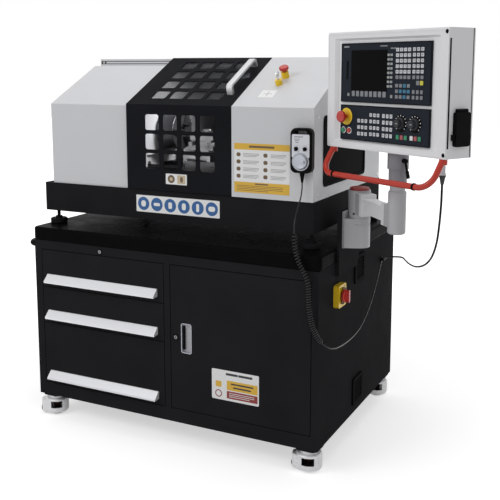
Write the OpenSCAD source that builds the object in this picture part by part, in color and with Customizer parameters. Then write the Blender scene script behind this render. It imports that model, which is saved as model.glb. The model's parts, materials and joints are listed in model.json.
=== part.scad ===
// Compact enclosed CNC lathe on a workshop cabinet, with a swing-arm console
// and a hand-wheel pendant. Millimetres, +Z up, +X to the tailstock, +Y to the
// back. The origin is on the floor, under the front left levelling pad.

/* [Cabinet] */
// Width of the cabinet
cab_w = 1300; // [1240:10:1500]
// Depth of the cabinet
cab_d = 920; // [900:10:1100]
// Height of the cabinet body, without its casters and worktop
cab_h = 684; // [660:2:760]
// Thickness of the folded side, back, top and bottom panels
skin = 12; // [8:1:16]
// Depth of the front frame behind the drawers and the door
frame_d = 26; // [22:1:40]
// Width of the left stile of the front frame
stile_left = 35; // [28:1:50]
// Width of the middle stile of the front frame
stile_mid = 27; // [20:1:40]
// Width of the right stile of the front frame
stile_right = 26; // [22:1:40]
// Height of the top rail of the front frame
rail_top = 37; // [34:1:50]
// Height of the bottom rail of the front frame
rail_bottom = 56; // [40:1:80]
// Gap all round each drawer front and the door
shut_gap = 3; // [2:0.5:5]

/* [Drawers] */
// Width of the drawer compartment's mouth
drawer_mouth_w = 610; // [560:5:640]
// Height of the bottom drawer front
drawer_bottom_h = 266; // [220:1:280]
// Height of the middle drawer front
drawer_middle_h = 154; // [120:1:170]
// Thickness of a drawer front
drawer_face_t = 18; // [14:1:22]
// Length of a drawer box behind its front
drawer_box_l = 700; // [500:10:820]
// Thickness of a drawer box's walls
drawer_wall = 8; // [5:1:12]
// Height of a runner bar on the drawer's side
runner_h = 30; // [20:1:40]
// Running clearance between a runner bar and its channel
runner_gap = 0.6; // [0.4:0.1:1.5]
// Height of a drawer pull
pull_h = 33; // [25:1:40]
// Reach of a drawer pull's lip in front of the drawer
pull_reach = 30; // [20:1:40]

/* [Cabinet door] */
// Thickness of the door's folded rim
door_t = 16; // [12:1:20]
// Thickness of the door's face
door_face_t = 4; // [2:0.5:6]
// Distance from the door's edge to its pivot
door_pivot_in = 23; // [18:1:25]
// Radius of the door's pivot pins
pivot_r = 4; // [3:0.5:6]
// Width of the recessed pull
recess_w = 43; // [36:1:60]
// Height of the recessed pull
recess_h = 117; // [90:1:150]
// Depth of the recessed pull
recess_d = 12; // [8:1:13]

/* [Casters] */
// Height from the floor to the underside of the cabinet
caster_h = 98; // [92:1:120]
// Inset of each caster's swivel axis from the cabinet's edges
caster_inset = 50; // [46:1:80]
// Radius of the caster's drum-shaped housing
drum_r = 50; // [44:1:54]
// Radius of the caster's wheel
wheel_r = 24; // [20:1:25]
// Width of the caster's wheel
wheel_w = 24; // [16:1:26]
// Clearance of the wheel over the floor while the pad carries the load
wheel_lift = 2.5; // [1:0.5:4]
// Radius of the levelling pad
pad_r = 26; // [20:1:32]

/* [Worktop] */
// Thickness of the worktop
top_t = 56; // [40:1:70]
// Overhang of the worktop past the cabinet
top_over = 6; // [4:1:20]
// Radius of the worktop's plan corners
top_corner = 24; // [21:1:60]
// Radius of the worktop's rounded edges
top_edge = 10; // [4:1:10]

/* [Chip tray and its feet] */
// Gap between the worktop and the chip tray
tray_lift = 62; // [50:1:90]
// Depth of the chip tray
tray_d = 777; // [740:1:800]
// Height of the chip tray
tray_h = 120; // [90:1:140]
// Thickness of the tray's sheet
tray_t = 4; // [3:0.5:8]
// Distance from the tray's left side to the cabinet's left side
tray_in_left = 9; // [4:1:30]
// Distance from the tray's right side to the cabinet's right side
tray_in_right = 53; // [50:1:80]
// Setback of the tray's front behind the cabinet's front
tray_in_front = 73; // [50:1:90]
// Radius of the machine's levelling feet
foot_r = 36; // [26:1:45]
// Inset of the feet from the tray's ends
foot_in = 26; // [22:1:60]

/* [Enclosure] */
// Thickness of the enclosure's sheet steel
sheet = 3; // [2:0.5:4]
// Height of the guard's front above the tray, up to the knee
front_h = 342; // [320:2:380]
// Angle of the sloping front
slope = 26.7; // [20:0.1:32]
// Depth from the guard's front plane to the sloping front's back edge
slope_run = 366; // [320:2:380]
// Setback of the guard's front plane behind the cabinet's front
front_y = 66; // [60:1:72]
// Clear distance from the guard's outside to the left cover's outside
cover_step = 12; // [9:0.5:16]
// Depth of the enclosure from the guard's front plane to the back
encl_d = 777; // [700:1:790]
// Distance from the tray's left side to the left cover's left side
cover_in_left = 40; // [20:1:60]
// Width of the left cover up to the guard door's left edge
left_cover_w = 389; // [362:1:395]
// Width of the guard door
guard_w = 473; // [470:1:500]
// Gap between the guard door and the right cover
guard_gap = 3; // [2:0.5:6]
// Width of the side window
window_w = 462; // [360:2:500]
// Height of the side window
window_h = 254; // [200:2:270]

/* [Guard door windows] */
// Width of a window
pane_w = 64; // [48:1:70]
// Height of a window
pane_h = 62; // [48:1:66]
// Pitch of the windows across
pane_pitch_x = 83; // [76:1:88]
// Pitch of the windows up the front
pane_pitch_z = 77; // [72:1:80]
// Pitch of the windows up the slope
pane_pitch_s = 86; // [78:1:90]
// Corner radius of a window
pane_corner = 9; // [4:1:12]
// Distance from the guard's left edge to the first window
pane_first_x = 89; // [80:1:95]
// Travel of the guard door to the left
guard_travel = 355; // [300:5:358]

/* [Lathe] */
// Distance from the front of the cabinet to the spindle axis
spindle_y = 350; // [340:1:360]
// Height of the spindle axis above the tray
spindle_up = 218; // [205:1:230]
// Outer radius of the spindle
spindle_r = 40; // [30:1:45]
// Radius of the bore through the spindle
bar_r = 19; // [12:0.5:25]
// Radius of the chuck
chuck_r = 80; // [70:1:90]
// Length of the chuck's body
chuck_l = 78; // [60:1:84]
// Radial clearance of a running fit
fit = 0.05; // [0.02:0.01:0.1]
// Height of the spindle axis above the bed's slideways
centre_h = 138; // [132:1:148]
// Distance between the two slideways' centres
way_pitch = 190; // [170:2:210]
// Side of the square tool turret
turret_side = 104; // [90:1:110]

/* [Swing arm] */
// Distance from the cabinet's side to the arm's swivel axis
swivel_out = 61; // [58:1:75]
// Distance from the cabinet's front to the arm's swivel axis
swivel_back = 250; // [230:1:300]
// Radius of the swivel head
swivel_r = 42; // [34:1:44]
// Length of the arm between its two axes
arm_l = 320; // [312:1:340]
// Side of the square arm tube
arm_side = 50; // [40:1:56]
// Radius of the upright at the end of the arm
post_r = 31; // [27:1:34]
// Radius of the tube that carries the console
stub_r = 26; // [20:1:26]

/* [Console] */
// Width of the console
console_w = 560; // [520:2:600]
// Height of the console
console_h = 398; // [390:2:440]
// Depth of the console
console_d = 118; // [100:1:150]
// Height of the console's underside above the worktop
console_up = 390; // [377:1:422]
// Thickness of the console's walls
console_wall = 4; // [3:0.5:6]
// Width of the two control panels
panel_w = 420; // [400:2:430]
// Height of the operator panel with the screen
panel_upper_h = 200; // [190:1:205]
// Height of the machine panel with the knobs
panel_lower_h = 120; // [110:1:124]
// Thickness of a control panel
panel_t = 6; // [4:0.5:8]
// Radius of the handlebar's tube
bar_tube_r = 10; // [7:0.5:12]

/* [Pendant] */
// Width of the pendant
pendant_w = 84; // [76:1:92]
// Height of the pendant
pendant_h = 162; // [150:1:180]
// Thickness of the pendant
pendant_t = 34; // [28:1:40]
// Radius of the console's lead
lead_r = 3.75; // [3:0.25:4.5]
// Radius of the pendant's hand wheel
mpg_r = 26; // [20:0.5:30]
// Radius of the pendant's cord
cord_r = 2.5; // [2:0.25:3.5]
// Outer radius of the cord's coil
coil_r = 11; // [9:0.5:11.5]

/* [Hidden] */
$fn = 48;

// Colours
black_paint = [0.13, 0.13, 0.135];
dark_steel = [0.3, 0.3, 0.31];
light_grey = [0.8, 0.8, 0.81];
white_paint = [0.88, 0.88, 0.88];
bright_metal = [0.75, 0.75, 0.76];
rubber_black = [0.06, 0.06, 0.06];
signal_red = [0.78, 0.12, 0.1];
signal_yellow = [0.93, 0.76, 0.1];

// Cabinet levels and front-frame lines
cab_z0 = caster_h;
cab_z1 = cab_z0 + cab_h;
mouth_z0 = cab_z0 + rail_bottom;
mouth_z1 = cab_z1 - rail_top;
mouth_left = -cab_w/2 + stile_left;
mouth_mid = mouth_left + drawer_mouth_w;
door_left = mouth_mid + stile_mid;
door_right = cab_w/2 - stile_right;
partition_x = (mouth_mid + door_left)/2;

// Drawers, from the bottom up: [bottom of the front, height of the front]
drawer_x = (mouth_left + mouth_mid)/2;
drawer_w = drawer_mouth_w - 2*shut_gap;
bottom_z = mouth_z0 + shut_gap;
middle_z = bottom_z + drawer_bottom_h + shut_gap;
top_z = middle_z + drawer_middle_h + shut_gap;
drawer_top_h = mouth_z1 - shut_gap - top_z;
DRAWERS = [[bottom_z, drawer_bottom_h], [middle_z, drawer_middle_h], [top_z, drawer_top_h]];
runner_t = 12;
runner_hold = 10;
runner_wall = 3;
runner_up = 30;
box_w = drawer_w - 2*runner_t - 4;
pull_l = drawer_w - 56;
pull_up = 22;

// Door and locks
leaf_left = door_left + shut_gap;
leaf_right = door_right - shut_gap;
leaf_z0 = mouth_z0 + shut_gap;
leaf_z1 = mouth_z1 - shut_gap;
door_pivot_x = leaf_right - door_pivot_in;
pin_l = 12;
lock_r = 8;
door_lock_x = leaf_left + 23;
door_lock_z = (leaf_z0 + leaf_z1)/2 + 3;
recess_x = leaf_left + 71;
drawer_lock_z = cab_z1 - rail_top/2 - 3;

// Side fittings on the cabinet
vent_side = 116;
vent_y = 438;
VENT_Z = [cab_z0 + 93, cab_z0 + 606];
switch_y = 189;
switch_z = cab_z0 + 554;
switch_w = 80;
switch_h = 86;
switch_t = 22;
grip_r = 14;
grip_out = 75;
grip_z = cab_z1 - 32;
GRIP_Y = [60, cab_d - 60];

// Casters: [side in x, side in y, turn about the swivel axis]
CASTERS = [[-1, -1, 125], [1, -1, 105], [-1, 1, 60], [1, 1, 110]];
plate_t = 8;
kingpin_r = 8;
wheel_trail = 44;
wheel_axle_r = 4;

// Lathe levels
top_z0 = cab_z1;
top_z1 = top_z0 + top_t;
tray_z0 = top_z1 + tray_lift;
tray_z1 = tray_z0 + tray_h;
tray_x0 = -cab_w/2 + tray_in_left;
tray_x1 = cab_w/2 - tray_in_right;
tray_w = tray_x1 - tray_x0;
tray_y0 = tray_in_front;
tray_y1 = tray_y0 + tray_d;
rim = 16;

// Enclosure outlines
knee_z = tray_z1 + front_h;
cover_x0 = tray_x0 + cover_in_left;
guard_x0 = cover_x0 + left_cover_w;
guard_x1 = guard_x0 + guard_w;
right_x0 = guard_x1 + guard_gap;
right_x1 = tray_x1;
back_y = front_y + encl_d;
slope_y1 = front_y + slope_run;
slope_z1 = knee_z + slope_run*tan(slope);
slope_l = slope_run/cos(slope);
left_front_y = front_y + cover_step + 1;
roof_z = slope_z1 - 34;
bulkhead_x = guard_x0 + 6;
hook_reach = 30;
hook_drop = 20;
flange = 20;
rail_gap = 0.8;
rail_w = 24;
rail_y0 = slope_y1 + 2;
rail_z1 = slope_z1 - sheet - rail_gap;

// Lathe
spindle_z = tray_z1 + spindle_up;
way_z = spindle_z - centre_h;
chuck_x0 = bulkhead_x + 6;
chuck_x1 = chuck_x0 + chuck_l;
spindle_back = cover_x0 + 36;
head_x0 = spindle_back + 34;
head_x1 = bulkhead_x - 24;
bed_x0 = cover_x0 + 30;
bed_x1 = right_x1 - 40;
bed_front = spindle_y - way_pitch/2 - 30;
bed_back = spindle_y + way_pitch/2 + 30;
carriage_x0 = chuck_x1 + 84;
carriage_l = 170;
saddle_z1 = way_z + 34;
slide_z1 = saddle_z1 + 32;
cross_l = way_pitch + 40;
cross_y0 = spindle_y - way_pitch;
turret_x = carriage_x0 + carriage_l/2 + 20;
turret_y = spindle_y - 116;
tail_l = 130;
tail_out = 159;
tail_x0 = right_x1 - tail_l - tail_out;

// Swing arm and console frame
console_z = top_z1 + console_up;
arm_angle = -48;
console_angle = -29;
swivel_x = cab_w/2 + swivel_out;
post_x = swivel_x + arm_l*cos(arm_angle);
post_y = swivel_back + arm_l*sin(arm_angle);
bracket_z0 = top_z1 - 3;
bracket_z1 = bracket_z0 + 112;
swivel_z1 = bracket_z1 + 104;
arm_z = bracket_z1 + 58;
elbow_h = 76;
arm_plate_low = 52;
post_z0 = bracket_z1 - 2;
post_z1 = post_z0 + 150;
sleeve_z0 = post_z1 + 18;
collar_z0 = sleeve_z0 + 56;
console_x = -8;
console_front = -70;
recess_depth = 12;
border_x = 37;
border_z = 22;
panel_x = console_x - 5;
panel_gap = 10;
panel_z1 = console_z + console_h - 38;
panel_z_mid = panel_z1 - panel_upper_h;
lower_z1 = panel_z_mid - panel_gap;
panel_y = console_front + recess_depth - panel_t;
estop_x = panel_x - panel_w/2 + 33;
estop_z = lower_z1 - 40;
knob_z = lower_z1 - 50;
KNOB_X = [panel_x + 84, panel_x + 147];
BUTTON_X = [panel_x - panel_w/2 + 16, panel_x - panel_w/2 + 46];
button_z = lower_z1 - 88;
knob_shaft_r = 3;
button_r = 6;
flap_w = 62;
flap_h = 112;
flap_y = -13;
flap_z1 = console_z + 148;
connector_x = console_x + 215;
connector_y = -10;
boot_z0 = console_z - 87.5;
bar_half = console_w/2 - 22;
bar_drop = 90;
bar_lean = 32;
bar_bend = 52;

// Pendant
pendant_x = right_x1 - 35;
pendant_z0 = knee_z - 232;
pendant_back = front_y - 3;
pendant_y = pendant_back - pendant_t/2;
pendant_front = pendant_back - pendant_t;
mpg_z = pendant_z0 + 42;
selector_z = pendant_z0 + 88;
SELECTOR_X = [pendant_x - 17, pendant_x + 17];
relief_l = 36;

// Routes of the cords, from the cabinet's front centre on the floor
LEAD_POINTS = [
    [-88, 46, 256], [-88, 45, 232], [-89, 36, 202], [-90, 14, 170], [-89, -10, 140],
    [-88, -24, 110], [-87, -26, 90]
];
COIL_POINTS = [
    [-87, -26, 90], [-85, -26, 52], [-80, -27, 17], [-69, -28, -16], [-51, -29, -48],
    [-37, -29, -74], [-30, -29, -102], [-28, -29, -138], [-26, -28, -183], [-21, -26, -223],
    [-12, -23, -260], [2, -18, -292], [20, -10, -316]
];
TAIL_POINTS = [
    [20, -10, -316], [36, 8, -334], [44, 50, -348], [42, 110, -360], [36, 200, -372],
    [30, 300, -378], [26, 390, -370], [23, 470, -344], [21, 545, -302], [19, 605, -252],
    [17, 650, -210], [14, 682, -183], [10, 708, -169], [8, 728, -164]
];
CONSOLE_LEAD_POINTS = [
    [8, 746, -164], [12, 774, -164], [30, 800, -163], [58, 804, -161], [82, 786, -158],
    [110, 729, -154], [155, 620, -140], [213, 481, -115], [270, 342, -81], [327, 204, -38],
    [373, 93, 8], [404, 18, 53], [427, -37, 107], [441, -72, 170], [449, -92, 232],
    [451, -97, 277], [451, -97, 302]
];
clip_y = 737;
clip_z = -164;
clip_l = 18;

// ---------------------------------------------------------------- shared shapes

// Puts a piece drawn from the cabinet's front centre into the model's frame
module from_cabinet() {
    translate([cab_w/2 - caster_inset, -caster_inset, 0]) children();
}

// Puts a piece drawn about the console's post into the model's frame
module at_console() {
    from_cabinet() translate([post_x, post_y, 0]) rotate([0, 0, console_angle]) children();
}

// Puts a piece drawn on the sloping cover, +X across and +Y up the slope
module on_slope(x, s) {
    from_cabinet() translate([x, front_y, knee_z]) rotate([slope, 0, 0]) translate([0, s, 0]) children();
}

// Rectangle with round corners, centred
module round_rect(w, h, r) {
    square([w - 2*r, h], center = true);
    square([w, h - 2*r], center = true);
    for (sx = [-1, 1], sy = [-1, 1]) translate([sx*(w/2 - r), sy*(h/2 - r)]) circle(r);
}

// Disc with rounded rims, standing on z = 0
module soft_disc(r, h, e) {
    rotate_extrude() {
        square([r - e, h]);
        translate([0, e]) square([r, h - 2*e]);
        for (z = [e, h - e]) translate([r - e, z]) circle(e);
    }
}

// Slab with round plan corners and rounded edges, centred in plan on z = 0
module soft_slab(w, d, h, r, e) {
    translate([0, 0, h/2]) {
        rotate([90, 0, 0]) linear_extrude(d - 2*r, center = true) round_rect(w, h, e);
        rotate([90, 0, 90]) linear_extrude(w - 2*r, center = true) round_rect(d, h, e);
    }
    for (sx = [-1, 1], sy = [-1, 1]) translate([sx*(w/2 - r), sy*(d/2 - r), 0]) soft_disc(r, h, e);
}

// Tube bend in the XZ plane: starts along +X from the origin, ends along +Z
module bend(radius, r) {
    translate([0, 0, radius]) rotate([90, 0, 0]) rotate([0, 0, -90])
        rotate_extrude(angle = 90) translate([radius, 0]) circle(r);
}

// Section swept along X from a polygon drawn in Y and Z
module along_x(x0, x1) {
    translate([x0, 0, 0]) rotate([90, 0, 90]) linear_extrude(x1 - x0) children();
}

function unit(v) = v/norm(v);
function spline(p0, p1, p2, p3, t) =
    0.5*(2*p1 + (p2 - p0)*t + (2*p0 - 5*p1 + 4*p2 - p3)*t*t + (3*p1 - p0 - 3*p2 + p3)*t*t*t);
// Points of a smooth curve through p, with n steps between two of them
function route(p, n) = concat(
    [for (i = [0 : len(p) - 2], k = [0 : n - 1])
        spline(p[max(i - 1, 0)], p[i], p[i + 1], p[min(i + 2, len(p) - 1)], k/n)],
    [p[len(p) - 1]]);
function heading(p, i) = unit(p[min(i + 1, len(p) - 1)] - p[max(i - 1, 0)]);
function level(u, t) = unit(u - t*(u*t));

// Round tube swept along the points p
module tube(p, r, sides) {
    last = len(p) - 1;
    first_side = level([0.31, 0.95, 0.07], heading(p, 0));
    side = [for (i = 0, u = first_side; i <= last; i = i + 1, u = level(u, heading(p, min(i, last)))) u];
    rings = [for (i = [0 : last], k = [0 : sides - 1])
        let (u = side[i], v = cross(heading(p, i), u), a = 360*k/sides)
        p[i] + r*(cos(a)*u + sin(a)*v)];
    walls = [for (i = [0 : last - 1], k = [0 : sides - 1])
        let (a = i*sides + k, b = i*sides + (k + 1)%sides) each [[a, a + sides, b], [b, a + sides, b + sides]]];
    polyhedron(rings, concat(walls,
        [[for (k = [0 : sides - 1]) k]],
        [[for (k = [0 : sides - 1]) last*sides + sides - 1 - k]]));
}

// ---------------------------------------------------------------- cabinet

// Folded carcass with its caster plates, kingpins, door pivots and arm plate
module cabinet_body() {
    from_cabinet() color(black_paint) {
        difference() {
            union() {
                translate([-cab_w/2, 0, cab_z0]) cube([cab_w, cab_d, cab_h]);
                for (c = CASTERS) caster_plate(c);
                arm_plate();
            }
            carcass_hollow(mouth_left, mouth_mid, -cab_w/2 + skin, partition_x - skin/2);
            carcass_hollow(door_left, door_right, partition_x + skin/2, cab_w/2 - skin);
            for (z = VENT_Z) translate([cab_w/2 - skin - 1, vent_y, z]) vent_hole();
            translate([drawer_x, -1, drawer_lock_z]) rotate([-90, 0, 0]) cylinder(r = lock_r + fit, h = frame_d + 2);
        }
        for (z = [mouth_z0 - 6, mouth_z1 + 6 - pin_l - shut_gap - 6])
            translate([door_pivot_x, door_t/2, z]) cylinder(r = pivot_r, h = pin_l + shut_gap + 6);
    }
}

// One compartment: the mouth in the front frame and the wider room behind it
module carcass_hollow(mouth_x0, mouth_x1, room_x0, room_x1) {
    translate([mouth_x0, -1, mouth_z0]) cube([mouth_x1 - mouth_x0, frame_d + 2, mouth_z1 - mouth_z0]);
    translate([room_x0, frame_d, cab_z0 + skin])
        cube([room_x1 - room_x0, cab_d - skin - frame_d, cab_h - 2*skin]);
}

module vent_hole() {
    side = vent_side - 24;
    translate([0, -side/2, -side/2]) cube([skin + 2, side, side]);
}

// Corner plate with a cut corner and a kingpin under it
module caster_plate(c) {
    side = 2*caster_inset - 8;
    translate([c[0]*(cab_w/2 - caster_inset), caster_y(c), cab_z0 - plate_t]) {
        linear_extrude(plate_t + 1) difference() {
            square(side, center = true);
            for (sx = [-1, 1], sy = [-1, 1])
                translate([sx*side/2, sy*side/2]) rotate(45) square(22, center = true);
        }
        translate([0, 0, -14]) cylinder(r = kingpin_r, h = 15);
    }
}

function caster_y(c) = c[1] < 0 ? caster_inset : cab_d - caster_inset;

// Upright plate on the cabinet's right side that carries the arm bracket
module arm_plate() {
    w = 2*swivel_r + 220;
    translate([cab_w/2, swivel_back - swivel_r - 46, 0]) {
        translate([top_over + 0.3, 0, 0]) rotate([90, 0, 90]) linear_extrude(10) difference() {
            translate([0, cab_z1 - arm_plate_low]) square([w, bracket_z1 + 28 - cab_z1 + arm_plate_low]);
            translate([w + 30, bracket_z1 + 28]) circle(112);
            translate([w + 20, cab_z1 - 78]) circle(118);
        }
        translate([-1, 0, cab_z1 - arm_plate_low]) cube([top_over + 2, w - 104, arm_plate_low - 0.3]);
    }
}

module worktop() {
    from_cabinet() color(black_paint)
        translate([0, cab_d/2, top_z0])
            soft_slab(cab_w + 2*top_over, cab_d + 2*top_over, top_t, top_corner, top_edge);
}

// Six fixed C-channels, two for each drawer
module drawer_runners() {
    from_cabinet() color(bright_metal) for (d = DRAWERS) {
        runner_channel(-cab_w/2 + skin, drawer_x - box_w/2, d[0] + runner_up);
        mirror([1, 0, 0]) runner_channel(-partition_x + skin/2, -drawer_x - box_w/2, d[0] + runner_up);
    }
}

// One channel from the carcass wall at x0 towards the drawer box's side at x1
module runner_channel(x0, x1, z) {
    lip = x1 - 2;
    translate([0, frame_d + 6, 0]) difference() {
        translate([x0, 0, z - runner_gap - runner_wall])
            cube([lip - x0, drawer_box_l - 20, runner_h + 2*(runner_gap + runner_wall)]);
        translate([x1 - runner_t - runner_gap, -1, z - runner_gap])
            cube([runner_t + 2, drawer_box_l - 18, runner_h + 2*runner_gap]);
    }
}

// Drawer with a folded front, an open box and its two runner bars
module drawer(d) {
    z = d[0];
    h = d[1];
    box_h = h - 40;
    from_cabinet() translate([drawer_x, 0, z]) {
        translate([-drawer_w/2, 0, 0]) cube([drawer_w, drawer_face_t, h]);
        difference() {
            translate([-box_w/2, drawer_face_t - 1, 12]) cube([box_w, drawer_box_l + 1, box_h]);
            translate([-box_w/2 + drawer_wall, drawer_face_t + 2, 12 + drawer_wall])
                cube([box_w - 2*drawer_wall, drawer_box_l - drawer_wall - 2, box_h]);
        }
        for (sx = [-1, 1]) translate([sx*(box_w/2 + runner_hold/2 - 0.5), drawer_face_t + drawer_box_l/2, runner_up + runner_h/2])
            cube([runner_hold + 1, drawer_box_l, runner_h], center = true);
    }
}

module drawer_bottom() { color(black_paint) drawer(DRAWERS[0]); }
module drawer_middle() { color(black_paint) drawer(DRAWERS[1]); }
module drawer_top() { color(black_paint) drawer(DRAWERS[2]); }

// Sloping lip pull with closed ends, fixed to a drawer front
module drawer_pull(d) {
    t = 3;
    from_cabinet() color(white_paint) translate([drawer_x, 0, d[0] + pull_up]) {
        along_x(-pull_l/2, pull_l/2) polygon([
            [0, pull_h], [-4, pull_h], [-pull_reach, 7], [-pull_reach, 0], [-pull_reach + t, 0],
            [-pull_reach + t, 6], [-t - 1, pull_h - 6], [-t, 2], [0, 2]
        ]);
        for (x = [-pull_l/2, pull_l/2 - t]) along_x(x, x + t)
            polygon([[0, pull_h], [-4, pull_h], [-pull_reach, 7], [-pull_reach, 0], [0, 2]]);
    }
}

module pull_bottom() { drawer_pull(DRAWERS[0]); }
module pull_middle() { drawer_pull(DRAWERS[1]); }
module pull_top() { drawer_pull(DRAWERS[2]); }

// Folded door leaf with a dished pull, turning on two pivot pins
module cabinet_door() {
    rim_w = 2*door_pivot_in - 8;
    leaf_w = leaf_right - leaf_left;
    leaf_h = leaf_z1 - leaf_z0;
    from_cabinet() color(black_paint) difference() {
        translate([leaf_left, 0, leaf_z0]) cube([leaf_w, door_t, leaf_h]);
        difference() {
            translate([leaf_left + rim_w, door_face_t, leaf_z0 + rim_w])
                cube([leaf_w - 2*rim_w, door_t, leaf_h - 2*rim_w]);
            translate([recess_x - recess_w/2 - 6, 0, door_lock_z - recess_h/2 - 6])
                cube([recess_w + 12, door_t, recess_h + 12]);
        }
        translate([recess_x, recess_d, door_lock_z]) rotate([90, 0, 0])
            linear_extrude(recess_d + 1) round_rect(recess_w, recess_h, 6);
        translate([door_lock_x, -1, door_lock_z]) rotate([-90, 0, 0]) cylinder(r = lock_r + fit, h = door_t + 2);
        for (z = [leaf_z0 - 1, leaf_z1 - pin_l])
            translate([door_pivot_x, door_t/2, z]) cylinder(r = pivot_r + fit, h = pin_l + 1);
    }
}

// Lock barrel through a panel of thickness t, with its cam behind
module lock_barrel(t, cam_l) {
    cam_y = t + 2;
    rotate([90, 0, 0]) difference() {
        cylinder(r = lock_r + 3, h = 3);
        translate([-1, -4, 1]) cube([2, 8, 3]);
    }
    rotate([-90, 0, 0]) translate([0, 0, -0.5]) cylinder(r = lock_r, h = cam_y + 5.5);
    translate([-6, cam_y, -6]) cube([6 + cam_l, 3, 12]);
}

module door_lock() {
    from_cabinet() color(bright_metal) translate([door_lock_x, 0, door_lock_z])
        rotate([0, 90, 0]) lock_barrel(frame_d, 30);
}

module drawer_lock() {
    from_cabinet() color(bright_metal) translate([drawer_x, 0, drawer_lock_z])
        lock_barrel(frame_d, 22);
}

// Two louvred fan grilles on the right side
module side_vents() {
    depth = 7;
    blades = 6;
    clear = vent_side - 32;
    step = clear/blades;
    from_cabinet() color(rubber_black) for (z = VENT_Z) translate([cab_w/2, vent_y, z]) {
        rotate([90, 0, 90]) linear_extrude(depth) difference() {
            round_rect(vent_side, vent_side, 12);
            round_rect(clear, clear, 4);
        }
        for (i = [0 : blades - 1]) translate([0, -clear/2 - 0.5, -clear/2 + i*step])
            rotate([90, 0, 0]) mirror([0, 0, 1]) linear_extrude(clear + 1)
                polygon([[0.6, step*0.9], [0.6, step*0.7], [depth - 1, 0.5], [depth - 0.6, 2.5]]);
    }
}

// Tubular push handle on the left side
module push_handle() {
    turn = 30;
    length = GRIP_Y[1] - GRIP_Y[0];
    from_cabinet() color(rubber_black) translate([-cab_w/2, 0, grip_z]) {
        translate([-grip_out, GRIP_Y[0] + turn, 0]) rotate([-90, 0, 0]) cylinder(r = grip_r, h = length - 2*turn);
        for (y = GRIP_Y) translate([0, y, 0]) {
            rotate([0, -90, 0]) cylinder(r = grip_r, h = grip_out - turn);
            rotate([0, -90, 0]) cylinder(r = grip_r + 8, h = 5);
        }
        translate([-grip_out + turn, GRIP_Y[0] + turn, 0]) rotate([0, 0, 180]) grip_bend(turn);
        translate([-grip_out + turn, GRIP_Y[1] - turn, 0]) rotate([0, 0, 90]) grip_bend(turn);
    }
}

module grip_bend(turn) {
    rotate_extrude(angle = 90) translate([turn, 0]) circle(grip_r);
}

module switch_base() {
    from_cabinet() color(signal_yellow) translate([cab_w/2, switch_y, switch_z]) difference() {
        rotate([90, 0, 90]) {
            linear_extrude(switch_t) round_rect(switch_w, switch_h, 10);
            translate([0, 0, switch_t - 1]) cylinder(r = 29, h = 5);
        }
        translate([8, 0, 0]) rotate([0, 90, 0]) cylinder(r = 6 + fit, h = switch_t);
    }
}

// Red rotary handle of the main switch
module switch_handle() {
    from_cabinet() color(signal_red) translate([cab_w/2 + switch_t + 4.4, switch_y, switch_z]) {
        translate([-14, 0, 0]) rotate([0, 90, 0]) cylinder(r = 6, h = 15);
        rotate([0, 90, 0]) soft_disc(25, 9, 2);
        translate([8, 0, 0]) rotate([90, 0, 90]) linear_extrude(16) round_rect(13, 48, 5);
    }
}

// ---------------------------------------------------------------- casters

// Levelling caster: drum housing with a window, wheel fork, screw and pad
module caster(c) {
    top = cab_z0 - plate_t - 0.6;
    axle_z = wheel_r + wheel_lift;
    cheek = wheel_w/2 + 9;
    from_cabinet() color(bright_metal)
    translate([c[0]*(cab_w/2 - caster_inset), caster_y(c), 0]) rotate([0, 0, c[2]]) {
        difference() {
            union() {
                translate([0, 0, 9]) soft_disc(drum_r, 66, 12);
                translate([0, 0, 74]) cylinder(r = drum_r - 14, h = top - 74);
                translate([0, 0, 12]) linear_extrude(54) polygon([
                    [-drum_r + 2, 0], [-drum_r + 5, 16], [-cheek, wheel_trail + 14], [-cheek + 6, wheel_trail + 20],
                    [cheek - 6, wheel_trail + 20], [cheek, wheel_trail + 14], [drum_r - 5, 16], [drum_r - 2, 0]
                ]);
            }
            translate([-drum_r - 1, -24, 34]) cube([2*drum_r + 2, 48, 30]);
            translate([-wheel_w/2 - 1.2, wheel_trail - wheel_r - 1.5, -1])
                cube([wheel_w + 2.4, wheel_r + 30, axle_z + wheel_r + 3]);
            translate([0, 0, top - 14]) cylinder(r = kingpin_r + fit, h = 15);
        }
        translate([-wheel_w/2 - 4, wheel_trail, axle_z]) rotate([0, 90, 0]) cylinder(r = wheel_axle_r, h = wheel_w + 8);
        translate([0, 0, 46]) soft_disc(20, 12, 2);
        translate([0, 0, 7]) cylinder(r = 7, h = 66);
        soft_disc(pad_r, 8, 2.5);
    }
}

module caster_wheel(c) {
    axle_z = wheel_r + wheel_lift;
    from_cabinet() color(rubber_black)
    translate([c[0]*(cab_w/2 - caster_inset), caster_y(c), 0]) rotate([0, 0, c[2]])
    translate([-wheel_w/2, wheel_trail, axle_z]) rotate([0, 90, 0]) difference() {
        soft_disc(wheel_r, wheel_w, 4);
        translate([0, 0, -1]) cylinder(r = wheel_axle_r + fit, h = wheel_w + 2);
        for (z = [-1, wheel_w - 3]) translate([0, 0, z]) difference() {
            cylinder(r = wheel_r - 7, h = 4);
            translate([0, 0, -1]) cylinder(r = wheel_axle_r + 3, h = 6);
        }
    }
}

module caster_front_left() { caster(CASTERS[0]); }
module caster_front_right() { caster(CASTERS[1]); }
module caster_back_left() { caster(CASTERS[2]); }
module caster_back_right() { caster(CASTERS[3]); }
module wheel_front_left() { caster_wheel(CASTERS[0]); }
module wheel_front_right() { caster_wheel(CASTERS[1]); }
module wheel_back_left() { caster_wheel(CASTERS[2]); }
module wheel_back_right() { caster_wheel(CASTERS[3]); }

// ---------------------------------------------------------------- tray and enclosure

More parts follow.
